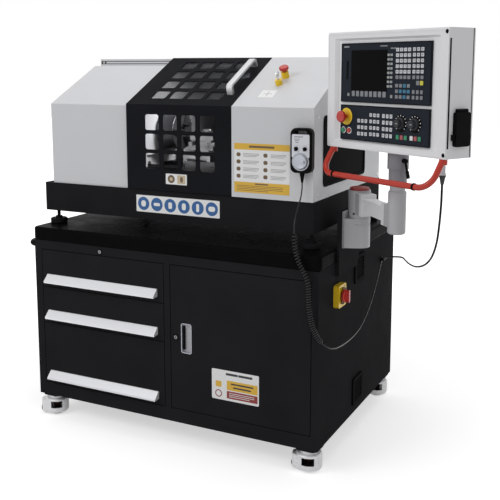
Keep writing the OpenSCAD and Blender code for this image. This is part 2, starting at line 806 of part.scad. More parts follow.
// Folded tray with an inward rim, on four round levelling feet
module chip_tray() {
    from_cabinet() color(black_paint) {
        difference() {
            translate([tray_x0, tray_y0, tray_z0]) cube([tray_w, tray_d, tray_h]);
            translate([tray_x0 + tray_t, tray_y0 + tray_t, tray_z0 + tray_t])
                cube([tray_w - 2*tray_t, tray_d - 2*tray_t, tray_h - 2*tray_t]);
            translate([tray_x0 + rim, tray_y0 + rim, tray_z1 - tray_t - 1])
                cube([tray_w - 2*rim, tray_d - 2*rim, tray_t + 2]);
        }
        for (x = [tray_x0 + foot_in, tray_x1 - foot_in], y = [tray_y0 + 50, tray_y1 - 50])
            translate([x, y, top_z1]) machine_foot();
    }
}

module machine_foot() {
    soft_disc(foot_r, 22, 6);
    cylinder(r = 14, h = 30);
    cylinder(r = 7, h = tray_lift + 1);
    translate([0, 0, tray_lift - 9]) cylinder(r = 12, h = 10, $fn = 6);
}

// Sheet outline in Y and Z: up the front, along the slope and over a flat roof
function cover_outline(y0, step, roof, inset) = let (
    drop = step/cos(slope),
    line = function (y) knee_z - drop + (y - front_y)*tan(slope),
    knee_y = y0 + inset,
    roof_in = roof - inset,
    slope_in = inset/cos(slope))
    [[knee_y, tray_z1 + inset], [knee_y, line(knee_y) - slope_in],
     [front_y + (roof_in - knee_z + drop + slope_in)/tan(slope), roof_in],
     [back_y - inset, roof_in], [back_y - inset, tray_z1 + inset]];

// Space that the bed, the carriage and the chuck take through a bulkhead
module bed_passage() {
    translate([bed_front - 24, tray_z1 - 1]) square([bed_back - bed_front + 48, saddle_z1 + 10 - tray_z1]);
}

// Left cover with the roof and the back over the machining space, and the rail
module headstock_cover() {
    right = guard_x1 + guard_gap;
    outer = cover_outline(left_front_y, cover_step, roof_z, 0);
    inner = cover_outline(left_front_y, cover_step, roof_z, sheet);
    from_cabinet() color(light_grey) {
        difference() {
            along_x(cover_x0, bulkhead_x) polygon(outer);
            along_x(cover_x0 + sheet, bulkhead_x - sheet) polygon(inner);
            along_x(cover_x0 + flange, bulkhead_x - flange)
                translate([left_front_y + flange, tray_z1 - 1]) square([back_y - left_front_y - 2*flange, 10]);
            along_x(bulkhead_x - flange - 1, bulkhead_x + 1) {
                bed_passage();
                translate([spindle_y, spindle_z]) circle(spindle_r + 24);
            }
            along_x(cover_x0 - 1, cover_x0 + sheet + 1) translate([spindle_y, spindle_z]) circle(bar_r + 14);
        }
        translate([bulkhead_x - 1, outer[2][0], roof_z - sheet]) cube([right - bulkhead_x, back_y - outer[2][0], sheet]);
        translate([bulkhead_x - 1, back_y - sheet, tray_z1]) cube([right - bulkhead_x, sheet, roof_z - tray_z1]);
        along_x(cover_x0, right) difference() {
            translate([rail_y0, roof_z - 1]) square([rail_w, rail_z1 - roof_z + 1]);
            for (z = [roof_z + 8, roof_z + 19]) translate([rail_y0 - 1, z]) square([5, 3]);
            translate([rail_y0 + rail_w - 4, roof_z + 12]) square([5, 6]);
        }
    }
}

// Right cover with its own bulkhead and the side window's opening
module tailstock_cover() {
    from_cabinet() color(light_grey) difference() {
        along_x(right_x0, right_x1) polygon(cover_outline(front_y, 0, slope_z1, 0));
        along_x(right_x0 + sheet, right_x1 - sheet) polygon(cover_outline(front_y, 0, slope_z1, sheet));
        along_x(right_x0 + flange, right_x1 - flange)
            translate([front_y + flange, tray_z1 - 1]) square([encl_d - 2*flange, 10]);
        along_x(right_x0 - 1, right_x0 + flange + 1) {
            bed_passage();
            translate([spindle_y - 60, saddle_z1]) square([120, spindle_z + 46 - saddle_z1]);
        }
        along_x(right_x1 - sheet - 1, right_x1 + 1) window_outline(0);
        for (s = CONTROL_S) on_cover_slope(s[0], s[1]) translate([0, 0, -sheet - 8]) cylinder(r = 9, h = sheet + 9);
    }
}

// E-stop and key switch on the right cover: [place across, place up the slope]
CONTROL_S = [[right_x0 + 128, 236], [right_x0 + 124, 178]];
module on_cover_slope(x, s) {
    translate([x, front_y, knee_z]) rotate([slope, 0, 0]) translate([0, s, 0]) children();
}

module window_outline(grow) {
    translate([front_y + 101 + window_w/2, tray_z1 + 50 + window_h/2])
        round_rect(window_w + 2*grow, window_h + 2*grow, 14 + grow);
}

// Dark side window with its rubber frame and a small catch
module side_window() {
    from_cabinet() color(rubber_black) {
        along_x(right_x1 - sheet - 2, right_x1 + 1) window_outline(-0.3);
        along_x(right_x1 + 0.3, right_x1 + 4) difference() {
            window_outline(6);
            window_outline(-8);
        }
        translate([right_x1 + 1, front_y + 88 + window_w, tray_z1 + 60 + window_h/2]) cube([12, 22, 44]);
    }
}

module cover_controls() {
    from_cabinet() color(signal_yellow) for (i = [0, 1]) on_cover_slope(CONTROL_S[i][0], CONTROL_S[i][1]) difference() {
        union() {
            cylinder(r = i == 0 ? 15 : 14, h = i == 0 ? 26 : 20);
            translate([0, 0, -14]) cylinder(r = 8.5, h = 15);
        }
        translate([0, 0, -8]) cylinder(r = 6 + fit, h = 40);
    }
}

module cover_estop() {
    on_slope(CONTROL_S[0][0], CONTROL_S[0][1]) color(signal_red) {
        translate([0, 0, 4]) cylinder(r = 6, h = 30);
        translate([0, 0, 33]) soft_disc(19, 14, 5);
    }
}

// Key in the key switch, with a round bow
module cover_key() {
    on_slope(CONTROL_S[1][0], CONTROL_S[1][1]) color(bright_metal) {
        translate([0, 0, 2]) cylinder(r = 6, h = 22);
        translate([-1.5, -3, 23]) cube([3, 6, 10]);
        translate([-1.5, 0, 42]) rotate([0, 90, 0]) difference() {
            cylinder(r = 12, h = 3);
            translate([-5, 0, -1]) cylinder(r = 3, h = 5);
        }
    }
}

// ---------------------------------------------------------------- guard door

GUARD_COLS = 4;
FRONT_ROWS = 3;
SLOPE_ROWS = 4;
front_pane_z = knee_z - 255;
slope_pane_s = 50;

function pane_x(i) = guard_x0 + pane_first_x + pane_w/2 + i*pane_pitch_x;

// Folded guard door: front, slope, hook over the rail and short side returns
module guard_door() {
    t = sheet;
    drop = t/cos(slope);
    hook_y = slope_y1 + hook_reach;
    lip = 8;
    from_cabinet() color(black_paint) difference() {
        union() {
            along_x(guard_x0, guard_x1) polygon([
                [front_y, tray_z1 + 2], [front_y, knee_z], [slope_y1, slope_z1], [hook_y + t, slope_z1],
                [hook_y + t, slope_z1 - hook_drop], [hook_y, slope_z1 - hook_drop], [hook_y, slope_z1 - t],
                [slope_y1, slope_z1 - t], [slope_y1, slope_z1 - drop], [front_y + t, knee_z + t*tan(slope) - drop],
                [front_y + t, tray_z1 + 2 + t], [front_y + t + lip, tray_z1 + 2 + t], [front_y + t + lip, tray_z1 + 2]
            ]);
            for (x = [guard_x0, guard_x1 - t]) along_x(x, x + t) polygon([
                [front_y, tray_z1 + 2], [front_y, knee_z], [slope_y1, slope_z1],
                [slope_y1, slope_z1 - lip/cos(slope)],
                [front_y + lip, knee_z + lip*tan(slope) - lip/cos(slope)], [front_y + lip, tray_z1 + 2]
            ]);
        }
        for (i = [0 : GUARD_COLS - 1], j = [0 : FRONT_ROWS - 1])
            translate([pane_x(i), front_y + t + 1, front_pane_z + pane_h/2 + j*pane_pitch_z])
                rotate([90, 0, 0]) linear_extrude(t + 2) round_rect(pane_w, pane_h, pane_corner);
        for (i = [0 : GUARD_COLS - 1], j = [0 : SLOPE_ROWS - 1])
            on_cover_slope(pane_x(i), slope_pane_s + pane_h/2 + j*pane_pitch_s)
                translate([0, 0, -t - 1]) linear_extrude(t + 2) round_rect(pane_w, pane_h, pane_corner);
    }
}

// Two clear sheets behind the windows
module guard_panes() {
    t = 4;
    wide = (GUARD_COLS - 1)*pane_pitch_x + pane_w + 28;
    x0 = guard_x0 + pane_first_x - 14;
    from_cabinet() color([0.7, 0.8, 0.85, 0.3]) {
        translate([x0, front_y + sheet, front_pane_z - 14])
            cube([wide, t, (FRONT_ROWS - 1)*pane_pitch_z + pane_h + 24]);
        on_cover_slope(x0, slope_pane_s - 14) translate([0, 0, -sheet - t - 0.1])
            cube([wide, (SLOPE_ROWS - 1)*pane_pitch_s + pane_h + 28, t]);
    }
}

// Flat bow handle up the right side of the slope
module guard_handle() {
    length = 250;
    rise = 38;
    w = 24;
    t = 9;
    x = guard_x1 - 44;
    from_cabinet() color(bright_metal) on_cover_slope(x + w/2, 88) rotate([0, -90, 0]) linear_extrude(w) difference() {
        polygon([[0, 0], [rise - 8, 4], [rise, 16], [rise, length - 16], [rise - 8, length - 4], [0, length]]);
        polygon([
            [-1, t + 6], [rise - t - 4, t + 9], [rise - t, t + 14],
            [rise - t, length - t - 14], [rise - t - 4, length - t - 9], [-1, length - t - 6]
        ]);
    }
}

// ---------------------------------------------------------------- lathe

// Cast bed: two walls joined by webs, a raised vee way and a flat way
module lathe_bed() {
    wall = 34;
    web_step = (bed_x1 - bed_x0 - 40)/6;
    z0 = tray_z0 + tray_t;
    from_cabinet() color(dark_steel) {
        along_x(bed_x0, bed_x1) {
            polygon([
                [bed_front - 12, z0], [bed_front - 12, z0 + 14], [bed_front + 8, z0 + 50], [bed_front + 8, way_z - 40],
                [bed_front, way_z - 28], [bed_front, way_z - 9], [spindle_y - way_pitch/2 - 10, way_z - 9],
                [spindle_y - way_pitch/2, way_z], [spindle_y - way_pitch/2 + 10, way_z - 9],
                [bed_front + 58, way_z - 9], [bed_front + 58, way_z - 28], [bed_front + 8 + wall, way_z - 40],
                [bed_front + 8 + wall, z0]
            ]);
            polygon([
                [bed_back + 12, z0], [bed_back + 12, z0 + 14], [bed_back - 8, z0 + 50], [bed_back - 8, way_z - 40],
                [bed_back, way_z - 28], [bed_back, way_z - 2], [bed_back - 58, way_z - 2],
                [bed_back - 58, way_z - 28], [bed_back - 8 - wall, way_z - 40], [bed_back - 8 - wall, z0]
            ]);
        }
        for (i = [0 : 6]) translate([bed_x0 + 12 + i*web_step, bed_front + 20, z0])
            difference() {
                cube([16, bed_back - bed_front - 40, way_z - z0 - 46]);
                translate([-1, (bed_back - bed_front)/2 - 20, 60]) rotate([0, 90, 0]) cylinder(r = 34, h = 18);
            }
    }
}

// Headstock casting with its two bearing rings
module headstock() {
    half = 118;
    from_cabinet() color(white_paint) difference() {
        union() {
            along_x(head_x0, head_x1) polygon([
                [spindle_y - half, way_z - 9], [spindle_y - half, spindle_z - 20], [spindle_y - half + 46, spindle_z + 62],
                [spindle_y - 44, spindle_z + 88], [spindle_y + 44, spindle_z + 88], [spindle_y + half - 46, spindle_z + 62],
                [spindle_y + half, spindle_z - 20], [spindle_y + half, way_z - 2], [spindle_y, way_z - 2],
                [spindle_y, way_z - 9]
            ]);
            for (x = [head_x0 - 10, head_x1 - 1]) translate([x, spindle_y, spindle_z])
                rotate([0, 90, 0]) cylinder(r = 62, h = 11);
        }
        translate([head_x0 - 20, spindle_y, spindle_z]) rotate([0, 90, 0]) cylinder(r = spindle_r + fit, h = head_x1 - head_x0 + 40);
        translate([head_x0 - 1, spindle_y - way_pitch/2, way_z - 1]) rotate([0, 90, 0]) cylinder(r = 14, h = head_x1 - head_x0 + 2);
    }
}

// Spindle, belt pulley, three-jaw chuck and its jaws
module chuck() {
    from_cabinet() color(dark_steel) translate([0, spindle_y, spindle_z]) rotate([0, 90, 0]) difference() {
        union() {
            translate([0, 0, spindle_back]) cylinder(r = spindle_r, h = chuck_x0 - spindle_back);
            translate([0, 0, head_x1 + 12]) cylinder(r = spindle_r + 14, h = chuck_x0 - head_x1 - 12);
            translate([0, 0, chuck_x0 - 1]) soft_disc(chuck_r, chuck_l + 1, 3);
            for (a = [0, 120, 240]) rotate([0, 0, a + 30]) chuck_jaw();
            translate([0, 0, spindle_back - 10]) pulley();
        }
        translate([0, 0, spindle_back - 11]) cylinder(r = bar_r, h = chuck_x1 - spindle_back + 12);
        for (a = [0, 120, 240]) rotate([0, 0, a + 90]) translate([chuck_r - 8, 0, (chuck_x0 + chuck_x1)/2])
            rotate([0, 90, 0]) cylinder(r = 6, h = 12, $fn = 4);
    }
}

// Stepped jaw standing on the chuck's face
module chuck_jaw() {
    translate([24, -11, chuck_x1 - 1]) cube([chuck_r - 30, 22, 13]);
    translate([24, -9, chuck_x1 + 11]) cube([34, 18, 12]);
    translate([24, -7, chuck_x1 + 22]) cube([16, 14, 12]);
}

// Two-groove belt pulley on the spindle's tail
module pulley() {
    rotate_extrude() difference() {
        translate([10, 0]) square([58, 32]);
        for (z = [9, 23]) polygon([[70, z - 6], [54, z - 2], [54, z + 2], [70, z + 6]], [[0, 1, 2, 3]]);
    }
}

// Saddle that rides both ways, with a front apron
module carriage() {
    lift = 0.3;
    wing = bed_front + 60;
    tail = bed_back - 60;
    from_cabinet() color(bright_metal) translate([carriage_x0, 0, 0]) {
        along_x(0, carriage_l) polygon([
            [bed_front - 14, way_z - 60], [bed_front - 14, saddle_z1 - 8], [bed_front - 6, saddle_z1],
            [bed_back + 6, saddle_z1], [bed_back + 14, saddle_z1 - 8], [bed_back + 14, way_z - 2 + lift],
            [tail, way_z - 2 + lift], [tail, way_z + 12], [wing, way_z + 12], [wing, way_z - 9 + lift],
            [spindle_y - way_pitch/2 + 10 + lift, way_z - 9 + lift], [spindle_y - way_pitch/2, way_z + 1 + lift],
            [spindle_y - way_pitch/2 - 10 - lift, way_z - 9 + lift], [bed_front - lift, way_z - 9 + lift],
            [bed_front - lift, way_z - 60]
        ]);
        along_x(50, carriage_l - 30) polygon([
            [bed_front - 12, saddle_z1 - 1], [bed_front - 12, saddle_z1 + 10], [bed_back - 20, saddle_z1 + 10],
            [bed_back - 20, saddle_z1 - 1]
        ]);
    }
}

// Cross slide on the saddle's raised strip
module cross_slide() {
    lift = 0.3;
    from_cabinet() color(bright_metal) translate([carriage_x0 + 34, 0, 0]) difference() {
        translate([0, cross_y0, saddle_z1 + lift]) cube([carriage_l - 48, cross_l, slide_z1 - saddle_z1]);
        translate([16 - lift, cross_y0 - 1, saddle_z1 - 1])
            cube([carriage_l - 80 + 2*lift, cross_l + 2, 11 + 2*lift]);
        translate([turret_x - carriage_x0 - 34, turret_y, saddle_z1 + 14]) cylinder(r = 12 + fit, h = 40);
        for (x = [14, carriage_l - 68]) translate([x, cross_y0 - 1, slide_z1 - 7]) cube([8, cross_l + 2, 10]);
    }
}

// Four-sided indexing tool turret with clamping screws and tools
module tool_turret() {
    h = 62;
    half = turret_side/2;
    z0 = slide_z1 + 0.7;
    from_cabinet() color(bright_metal) translate([turret_x, turret_y, 0]) {
        translate([0, 0, saddle_z1 + 16]) cylinder(r = 12, h = z0 - saddle_z1 - 15);
        translate([0, 0, z0]) cylinder(r = half - 4, h = 12);
        difference() {
            translate([-half, -half, z0 + 11]) cube([turret_side, turret_side, h]);
            for (a = [0 : 90 : 270]) rotate([0, 0, a])
                translate([-half - 1, half - 20, z0 + 30]) cube([turret_side + 2, 21, 22]);
        }
        for (a = [0 : 90 : 270]) rotate([0, 0, a]) {
            translate([-half - 20, half - 18.5, z0 + 29]) cube([turret_side - 6, 14, 14]);
            for (x = [-24, 0, 24]) translate([x, half - 11, z0 + h + 10]) cylinder(r = 4.5, h = 10, $fn = 6);
        }
        translate([0, 0, z0 + h + 10]) soft_disc(18, 20, 4);
    }
}

// Tailstock with its quill, centre and hand wheel
module tailstock() {
    lift = 0.3;
    half = 66;
    from_cabinet() color(bright_metal) translate([tail_x0, spindle_y, 0]) {
        along_x(0, tail_l) polygon([
            [-half - 40, way_z - 9 + lift], [-half - 40, way_z + 24], [-half + 22, way_z + 40], [-32, spindle_z - 20],
            [-32, spindle_z + 22], [-16, spindle_z + 38], [16, spindle_z + 38], [32, spindle_z + 22],
            [32, spindle_z - 20], [half - 22, way_z + 40], [half + 40, way_z + 24], [half + 40, way_z - 2 + lift],
            [way_pitch/2 - 30, way_z - 2 + lift], [way_pitch/2 - 30, way_z + 10], [-way_pitch/2 + 30, way_z + 10],
            [-way_pitch/2 + 30, way_z - 9 + lift], [-way_pitch/2 + 10 + lift, way_z - 9 + lift],
            [-way_pitch/2, way_z + 1 + lift], [-way_pitch/2 - 10 - lift, way_z - 9 + lift]
        ]);
        translate([0, 0, spindle_z]) rotate([0, 90, 0]) {
            translate([0, 0, -24]) cylinder(r = 19, h = tail_l + 44);
            translate([0, 0, -52]) cylinder(r1 = 0.6, r2 = 14, h = 29);
            translate([0, 0, tail_l + 18]) difference() {
                soft_disc(52, 14, 5);
                for (a = [0 : 120 : 240]) rotate([0, 0, a]) translate([33, 0, -1]) cylinder(r = 12, h = 16);
            }
            translate([0, 40, tail_l + 30]) soft_disc(7, 30, 3);
        }
    }
}

// ---------------------------------------------------------------- swing arm

// Cast bracket: a wall flange blending into a round pocketed socket with a pivot post
module arm_bracket() {
    flange_x = cab_w/2 + top_over + 10.3;
    reach = swivel_x - flange_x;
    half = swivel_r + 20;
    far = sqrt(reach*reach + half*half);
    touch = 180 - atan2(half, reach) - acos(swivel_r/far);
    wall = 7;
    from_cabinet() color([0.62, 0.62, 0.64]) translate([flange_x, swivel_back, 0]) {
        difference() {
            union() {
                translate([0, 0, bracket_z0]) linear_extrude(bracket_z1 - bracket_z0) {
                    polygon([[0, -half], [reach + swivel_r*cos(touch), -swivel_r*sin(touch)],
                        [reach + swivel_r*cos(touch), swivel_r*sin(touch)], [0, half]]);
                    translate([reach, 0]) circle(swivel_r);
                }
                translate([0, -half, bracket_z0]) cube([8, 2*half, bracket_z1 + 26 - bracket_z0]);
            }
            translate([8, 0, bracket_z0 + 40]) linear_extrude(bracket_z1) {
                polygon([[0, -half + 16], [reach - 40, -26], [reach - 40, 26], [0, half - 16]]);
            }
            translate([reach, 0, bracket_z1 - 24]) rotate_extrude() translate([swivel_r - 1.5, 0]) square([4, 3]);
            translate([reach, 0, bracket_z1]) cylinder(r = swivel_r + 1, h = 40);
            for (sy = [-1, 1]) translate([-1, sy*(half - 9), bracket_z1 + 14]) rotate([0, 90, 0]) cylinder(r = 4.5, h = 12);
        }
        translate([reach, 0, bracket_z1 - 1]) cylinder(r = swivel_r/2, h = 78);
    }
}

// Rotating head, arm tube, elbow and upright with the console's stub
module swing_arm() {
    lift = 0.6;
    from_cabinet() color([0.66, 0.66, 0.68]) {
        difference() {
            union() {
                translate([swivel_x, swivel_back, bracket_z1 + lift]) cylinder(r = swivel_r, h = swivel_z1 - bracket_z1 - lift);
                translate([swivel_x, swivel_back, swivel_z1 - 1]) soft_disc(swivel_r - 5, 9, 3);
                translate([swivel_x, swivel_back, 0]) rotate([0, 0, arm_angle]) {
                    translate([0, -arm_side/2 - 5, arm_z - arm_side/2 - 16]) cube([86, arm_side + 10, arm_side + 30]);
                    translate([80, -arm_side/2, arm_z - arm_side/2]) cube([arm_l - 140, arm_side, arm_side]);
                    translate([arm_l - 66, -post_r + 3, arm_z - elbow_h/2]) cube([66, 2*post_r - 6, elbow_h]);
                }
                translate([post_x, post_y, post_z0]) soft_disc(post_r, post_z1 - post_z0, 8);
                translate([post_x, post_y, post_z1 - 10]) cylinder(r = stub_r, h = console_z - 8 - post_z1 + 10);
            }
            translate([swivel_x, swivel_back, bracket_z1 - 1]) cylinder(r = swivel_r/2 + fit, h = 80);
        }
    }
}

// ---------------------------------------------------------------- console

// Box of the console drawn about the post: x, y, z ranges grown by g
module console_block(g) {
    translate([console_x - console_w/2 - g, console_front - g, console_z - g])
        cube([console_w + 2*g, console_d + 2*g, console_h + 2*g]);
}

// Recess with four bevelled sides, cut from the front
module console_recess() {
    w = console_w - 2*border_x;
    h = console_h - 2*border_z;
    b = recess_depth;
    intersection() {
        translate([console_x, 0, console_z + border_z - 20]) linear_extrude(h + 40)
            polygon([[-w/2 - 1, console_front - 1], [w/2 + 1, console_front - 1], [w/2 - b, console_front + b], [-w/2 + b, console_front + b]]);
        translate([console_x - w/2 - 20, 0, console_z + border_z]) rotate([90, 0, 90]) linear_extrude(w + 40)
            polygon([[console_front - 1, -1], [console_front - 1, h + 1], [console_front + b, h - b/2], [console_front + b, b/2]]);
    }
}

// Console housing with its profile frame, sleeve, collar, connector and flap frame
module console_body() {
    at_console() color(light_grey) {
        difference() {
            union() {
                translate([console_x, console_front + console_d/2, console_z + console_h/2])
                    linear_extrude(console_h, center = true) round_rect(console_w, console_d, 6);
                translate([0, 0, sleeve_z0]) cylinder(r = post_r, h = console_z + 20 - sleeve_z0);
                translate([0, 0, collar_z0]) cylinder(r = post_r + 5, h = console_z + 1 - collar_z0);
            }
            difference() {
                console_block(-console_wall);
                translate([console_x - console_w/2, console_front, console_z])
                    cube([console_w, recess_depth + console_wall, console_h]);
                cylinder(r = post_r + 2, h = console_z + 24);
            }
            console_recess();
            translate([0, 0, sleeve_z0 - 1]) cylinder(r = stub_r + fit, h = console_z - sleeve_z0 - 4);
            for (sx = [-1, 1]) translate([console_x + sx*console_w/2 - 3, console_front + 10, console_z + 34])
                cube([6, 6, console_h - 68]);
            seam_cut();
            for (x = concat(KNOB_X, BUTTON_X, [estop_x])) translate([x, panel_y, x == KNOB_X[0] || x == KNOB_X[1] ? knob_z : x == estop_x ? estop_z : button_z])
                rotate([-90, 0, 0]) cylinder(r = 9, h = 40);
            translate([console_x + console_w/2 + console_wall - 14, flap_y, flap_z1 - flap_h/2]) cube([30, flap_w - 24, flap_h - 34], center = true);
        }
        connector();
    }
}

// Shut line of the console's rear lid
module seam_cut() {
    y = console_front + console_d - 12;
    difference() {
        translate([console_x - console_w/2 - 1, y, console_z - 1]) cube([console_w + 2, 2, console_h + 2]);
        translate([console_x - console_w/2 + 2, y - 1, console_z + 2]) cube([console_w - 4, 4, console_h - 4]);
    }
}

// Cable connector and its boot under the console's right end
module connector() {
    translate([connector_x, connector_y, boot_z0]) {
        rotate_extrude() polygon([[0, 0], [lead_r + 1.5, 0], [9, 20], [9, 24], [0, 24]]);
        translate([0, 0, 23]) cylinder(r = 11, h = 12);
        translate([0, 0, 34]) cylinder(r = 9, h = console_z + 1 - boot_z0 - 34);
        translate([0, 0, console_z - boot_z0 - 8]) cylinder(r = 14, h = 9, $fn = 6);
    }
}

// Grid of raised keys: columns, rows, pitch across, pitch down, key width and height
module keys(x, z, cols, rows, px, pz, w, h) {
    for (i = [0 : cols - 1], j = [0 : rows - 1])
        translate([x + i*px, panel_y - 1.2, z - j*pz - h]) cube([w, 2, h]);
}

// Operator panel with its screen and keys, and machine panel with the switches' seats
module control_panels() {
    left = panel_x - panel_w/2;
    at_console() color([0.2, 0.22, 0.25]) {
        difference() {
            union() {
                translate([left, panel_y, panel_z_mid]) cube([panel_w, panel_t, panel_upper_h]);
                translate([left + 8, panel_y - 1.5, panel_z1 - 122]) cube([20, 3, 62]);
                keys(left + 266.5, panel_z1 - 19, 4, 6, 17.5, 17.5, 14.5, 12.5);
                keys(left + 341, panel_z1 - 18.5, 3, 6, 17.5, 17.5, 13.5, 12.5);
                keys(left + 266, panel_z1 - 133.5, 4, 3, 17.5, 18, 14, 12.5);
                keys(left + 341.5, panel_z1 - 152, 3, 2, 17.5, 17.5, 12, 13);
                keys(left + 358, panel_z1 - 122.5, 2, 1, 16.5, 18, 14.5, 15);
                keys(left + 227.5, panel_z1 - 36.5, 2, 8, 13.5, 14.5, 12.5, 9.5);
                keys(left + 57.5, panel_z1 - 160.5, 8, 1, 21.5, 18, 16, 19.5);
            }
            translate([left + 54, panel_y - 1, panel_z1 - 159]) cube([170, 3, 132]);
            translate([left + 29, panel_y - 1, panel_z1 - 122]) cube([8, 3, 62]);
        }
        difference() {
            union() {
                translate([left, panel_y, lower_z1 - panel_lower_h]) cube([panel_w, panel_t, panel_lower_h]);
                keys(left + 88.5, lower_z1 - 45, 3, 3, 18, 22, 13.5, 13.5);
                keys(left + 148.5, lower_z1 - 23.5, 3, 4, 17.5, 21.5, 13, 13);
                keys(left + 209.5, lower_z1 - 23.5, 3, 4, 17.5, 21.5, 13, 14);
                keys(left + 275, lower_z1 - 88, 3, 1, 18, 18, 14, 15.5);
                keys(left + 337, lower_z1 - 87.5, 3, 1, 17.5, 18, 14, 15.5);
                translate([estop_x, panel_y + 1, estop_z]) rotate([90, 0, 0]) cylinder(r = 29, h = 3);
            }
            translate([estop_x, panel_y - 6, estop_z]) rotate([-90, 0, 0]) cylinder(r = 6 + fit, h = 20);
            for (x = KNOB_X) translate([x, panel_y - 1, knob_z]) rotate([-90, 0, 0]) cylinder(r = knob_shaft_r + fit, h = 20);
            for (x = BUTTON_X) translate([x, panel_y - 1, button_z]) rotate([-90, 0, 0]) cylinder(r = button_r + fit, h = 20);
        }
    }
}

module console_estop() {
    at_console() color(signal_red) translate([estop_x, panel_y - 2, estop_z]) rotate([90, 0, 0]) {
        translate([0, 0, -14]) cylinder(r = 6, h = 34);
        translate([0, 0, 12]) cylinder(r = 12, h = 10);
        translate([0, 0, 18]) soft_disc(20, 14, 5);
    }
}

// Override knob with a grip bar on its face
module override_knob(x) {
    at_console() color(rubber_black) translate([x, panel_y, knob_z]) rotate([90, 0, 0]) {
        translate([0, 0, -12]) cylinder(r = knob_shaft_r, h = 14);
        translate([0, 0, 0.7]) soft_disc(17, 9, 2);
        translate([0, 0, 9]) cylinder(r1 = 14, r2 = 12.5, h = 12);
    }
}

module feed_knob() { override_knob(KNOB_X[0]); }
module spindle_knob() { override_knob(KNOB_X[1]); }

module push_button(x, tint) {
    at_console() color(tint) translate([x, panel_y, button_z]) rotate([90, 0, 0]) {
        translate([0, 0, -12]) cylinder(r = button_r, h = 14);
        translate([0, 0, 1.6]) soft_disc(button_r + 2, 4, 1.2);
    }
}

module start_button() { push_button(BUTTON_X[0], [0.1, 0.55, 0.3]); }
module stop_button() { push_button(BUTTON_X[1], signal_red); }

// Clamp lever screwed into the collar under the console
module clamp_lever() {
    at_console() color(rubber_black) translate([(post_r + 5)*cos(-14), (post_r + 5)*sin(-14), collar_z0 + 30]) rotate([0, 0, -14]) {
        translate([-2.2, 0, 0]) rotate([0, 90, 0]) translate([0, 0, 2.6]) cylinder(r = 8, h = 14);
        translate([9 + 60*sin(22), 0, -60*cos(22)]) rotate([0, -22, 0]) {
            soft_disc(6, 26, 2.5);
            translate([0, 0, 20]) cylinder(r = 4, h = 40);
        }
    }
}

// Bent tube in front of the console's underside, with two flanges
module handlebar() {
    reach = bar_drop/cos(bar_lean);
    at_console() color(signal_red) translate([console_x, console_front + 14, console_z]) {
        rotate([-bar_lean, 0, 0]) translate([0, 0, -reach]) {
            translate([-bar_half + bar_bend, 0, 0]) rotate([0, 90, 0]) cylinder(r = bar_tube_r, h = 2*(bar_half - bar_bend));
            for (sx = [0, 1]) mirror([sx, 0, 0]) {
                translate([bar_half - bar_bend, 0, 0]) bend(bar_bend, bar_tube_r);
                translate([bar_half, 0, bar_bend]) cylinder(r = bar_tube_r, h = reach - bar_bend - bar_tube_r*tan(bar_lean) - 1);
            }
        }
        for (sx = [-1, 1]) translate([sx*bar_half, 0, -18]) cylinder(r = bar_tube_r + 3, h = 18);
    }
}

// Black hinged cover over the service socket on the console's right side
module service_flap() {
    x = console_x + console_w/2 + 0.5;
    at_console() color(rubber_black) translate([x, flap_y, flap_z1]) {
        translate([0, 0, -flap_h/2 - 1]) rotate([90, 0, 90]) linear_extrude(15) round_rect(flap_w, flap_h - 6, 8);
        translate([7, -flap_w/2 + 8, 0]) rotate([-90, 0, 0]) cylinder(r = 6, h = flap_w - 16);
        translate([2, -flap_w/2 - 9, -flap_h + 22]) cube([9, flap_w + 18, 18]);
    }
}

// ---------------------------------------------------------------- pendant and cords

// Hand-held body with a hanging loop, two magnets and a strain relief
module pendant_body() {
    shoulder = 12;
    from_cabinet() color(rubber_black) translate([pendant_x, pendant_y, pendant_z0]) {
        difference() {
            translate([0, pendant_t/2, pendant_h/2]) rotate([90, 0, 0]) soft_slab(pendant_w, pendant_h, pendant_t, 22, 6);
            translate([0, pendant_t/2 + 1, pendant_h - 17]) rotate([90, 0, 0]) linear_extrude(pendant_t + 2) round_rect(48, 15, 7);
            translate([0, -pendant_t/2 + shoulder, mpg_z - pendant_z0]) rotate([90, 0, 0]) cylinder(r = mpg_r + 1.5, h = shoulder + 2);
            translate([0, 2, mpg_z - pendant_z0]) rotate([90, 0, 0]) cylinder(r = 5 + fit, h = 20);
            for (x = SELECTOR_X) translate([x - pendant_x, -2, selector_z - pendant_z0]) rotate([90, 0, 0]) cylinder(r = 2.5 + fit, h = 20);
        }
        for (z = [34, pendant_h - 50]) translate([0, pendant_t/2 - 1, z]) rotate([-90, 0, 0]) cylinder(r = 12, h = 4);
        translate([0, 0, -relief_l]) rotate_extrude()
            polygon([[0, 0], [cord_r + 1.2, 0], [9, relief_l - 4], [9, relief_l + 2], [0, relief_l + 2]]);
    }
}

// Hand wheel with a finger knob
module mpg_wheel() {
    from_cabinet() color(bright_metal) translate([pendant_x, pendant_front, mpg_z]) rotate([90, 0, 0]) {
        translate([0, 0, -16]) cylinder(r = 5, h = 12);
        translate([0, 0, -10]) soft_disc(mpg_r, 20, 3);
        translate([15, 0, 9]) soft_disc(5, 10, 2);
    }
}

module selector(x) {
    from_cabinet() color(rubber_black) translate([x, pendant_front, selector_z]) rotate([90, 0, 0]) {
        translate([0, 0, -12]) cylinder(r = 2.5, h = 14);
        translate([0, 0, 0.6]) soft_disc(7.5, 5, 1.5);
        translate([-2, -7, 5]) cube([4, 14, 8]);
    }
}

module axis_knob() { selector(SELECTOR_X[0]); }
module step_knob() { selector(SELECTOR_X[1]); }

// Puts the cords where the cabinet's right side meets the worktop's top
module at_side() {
    from_cabinet() translate([cab_w/2, 0, top_z1]) children();
}

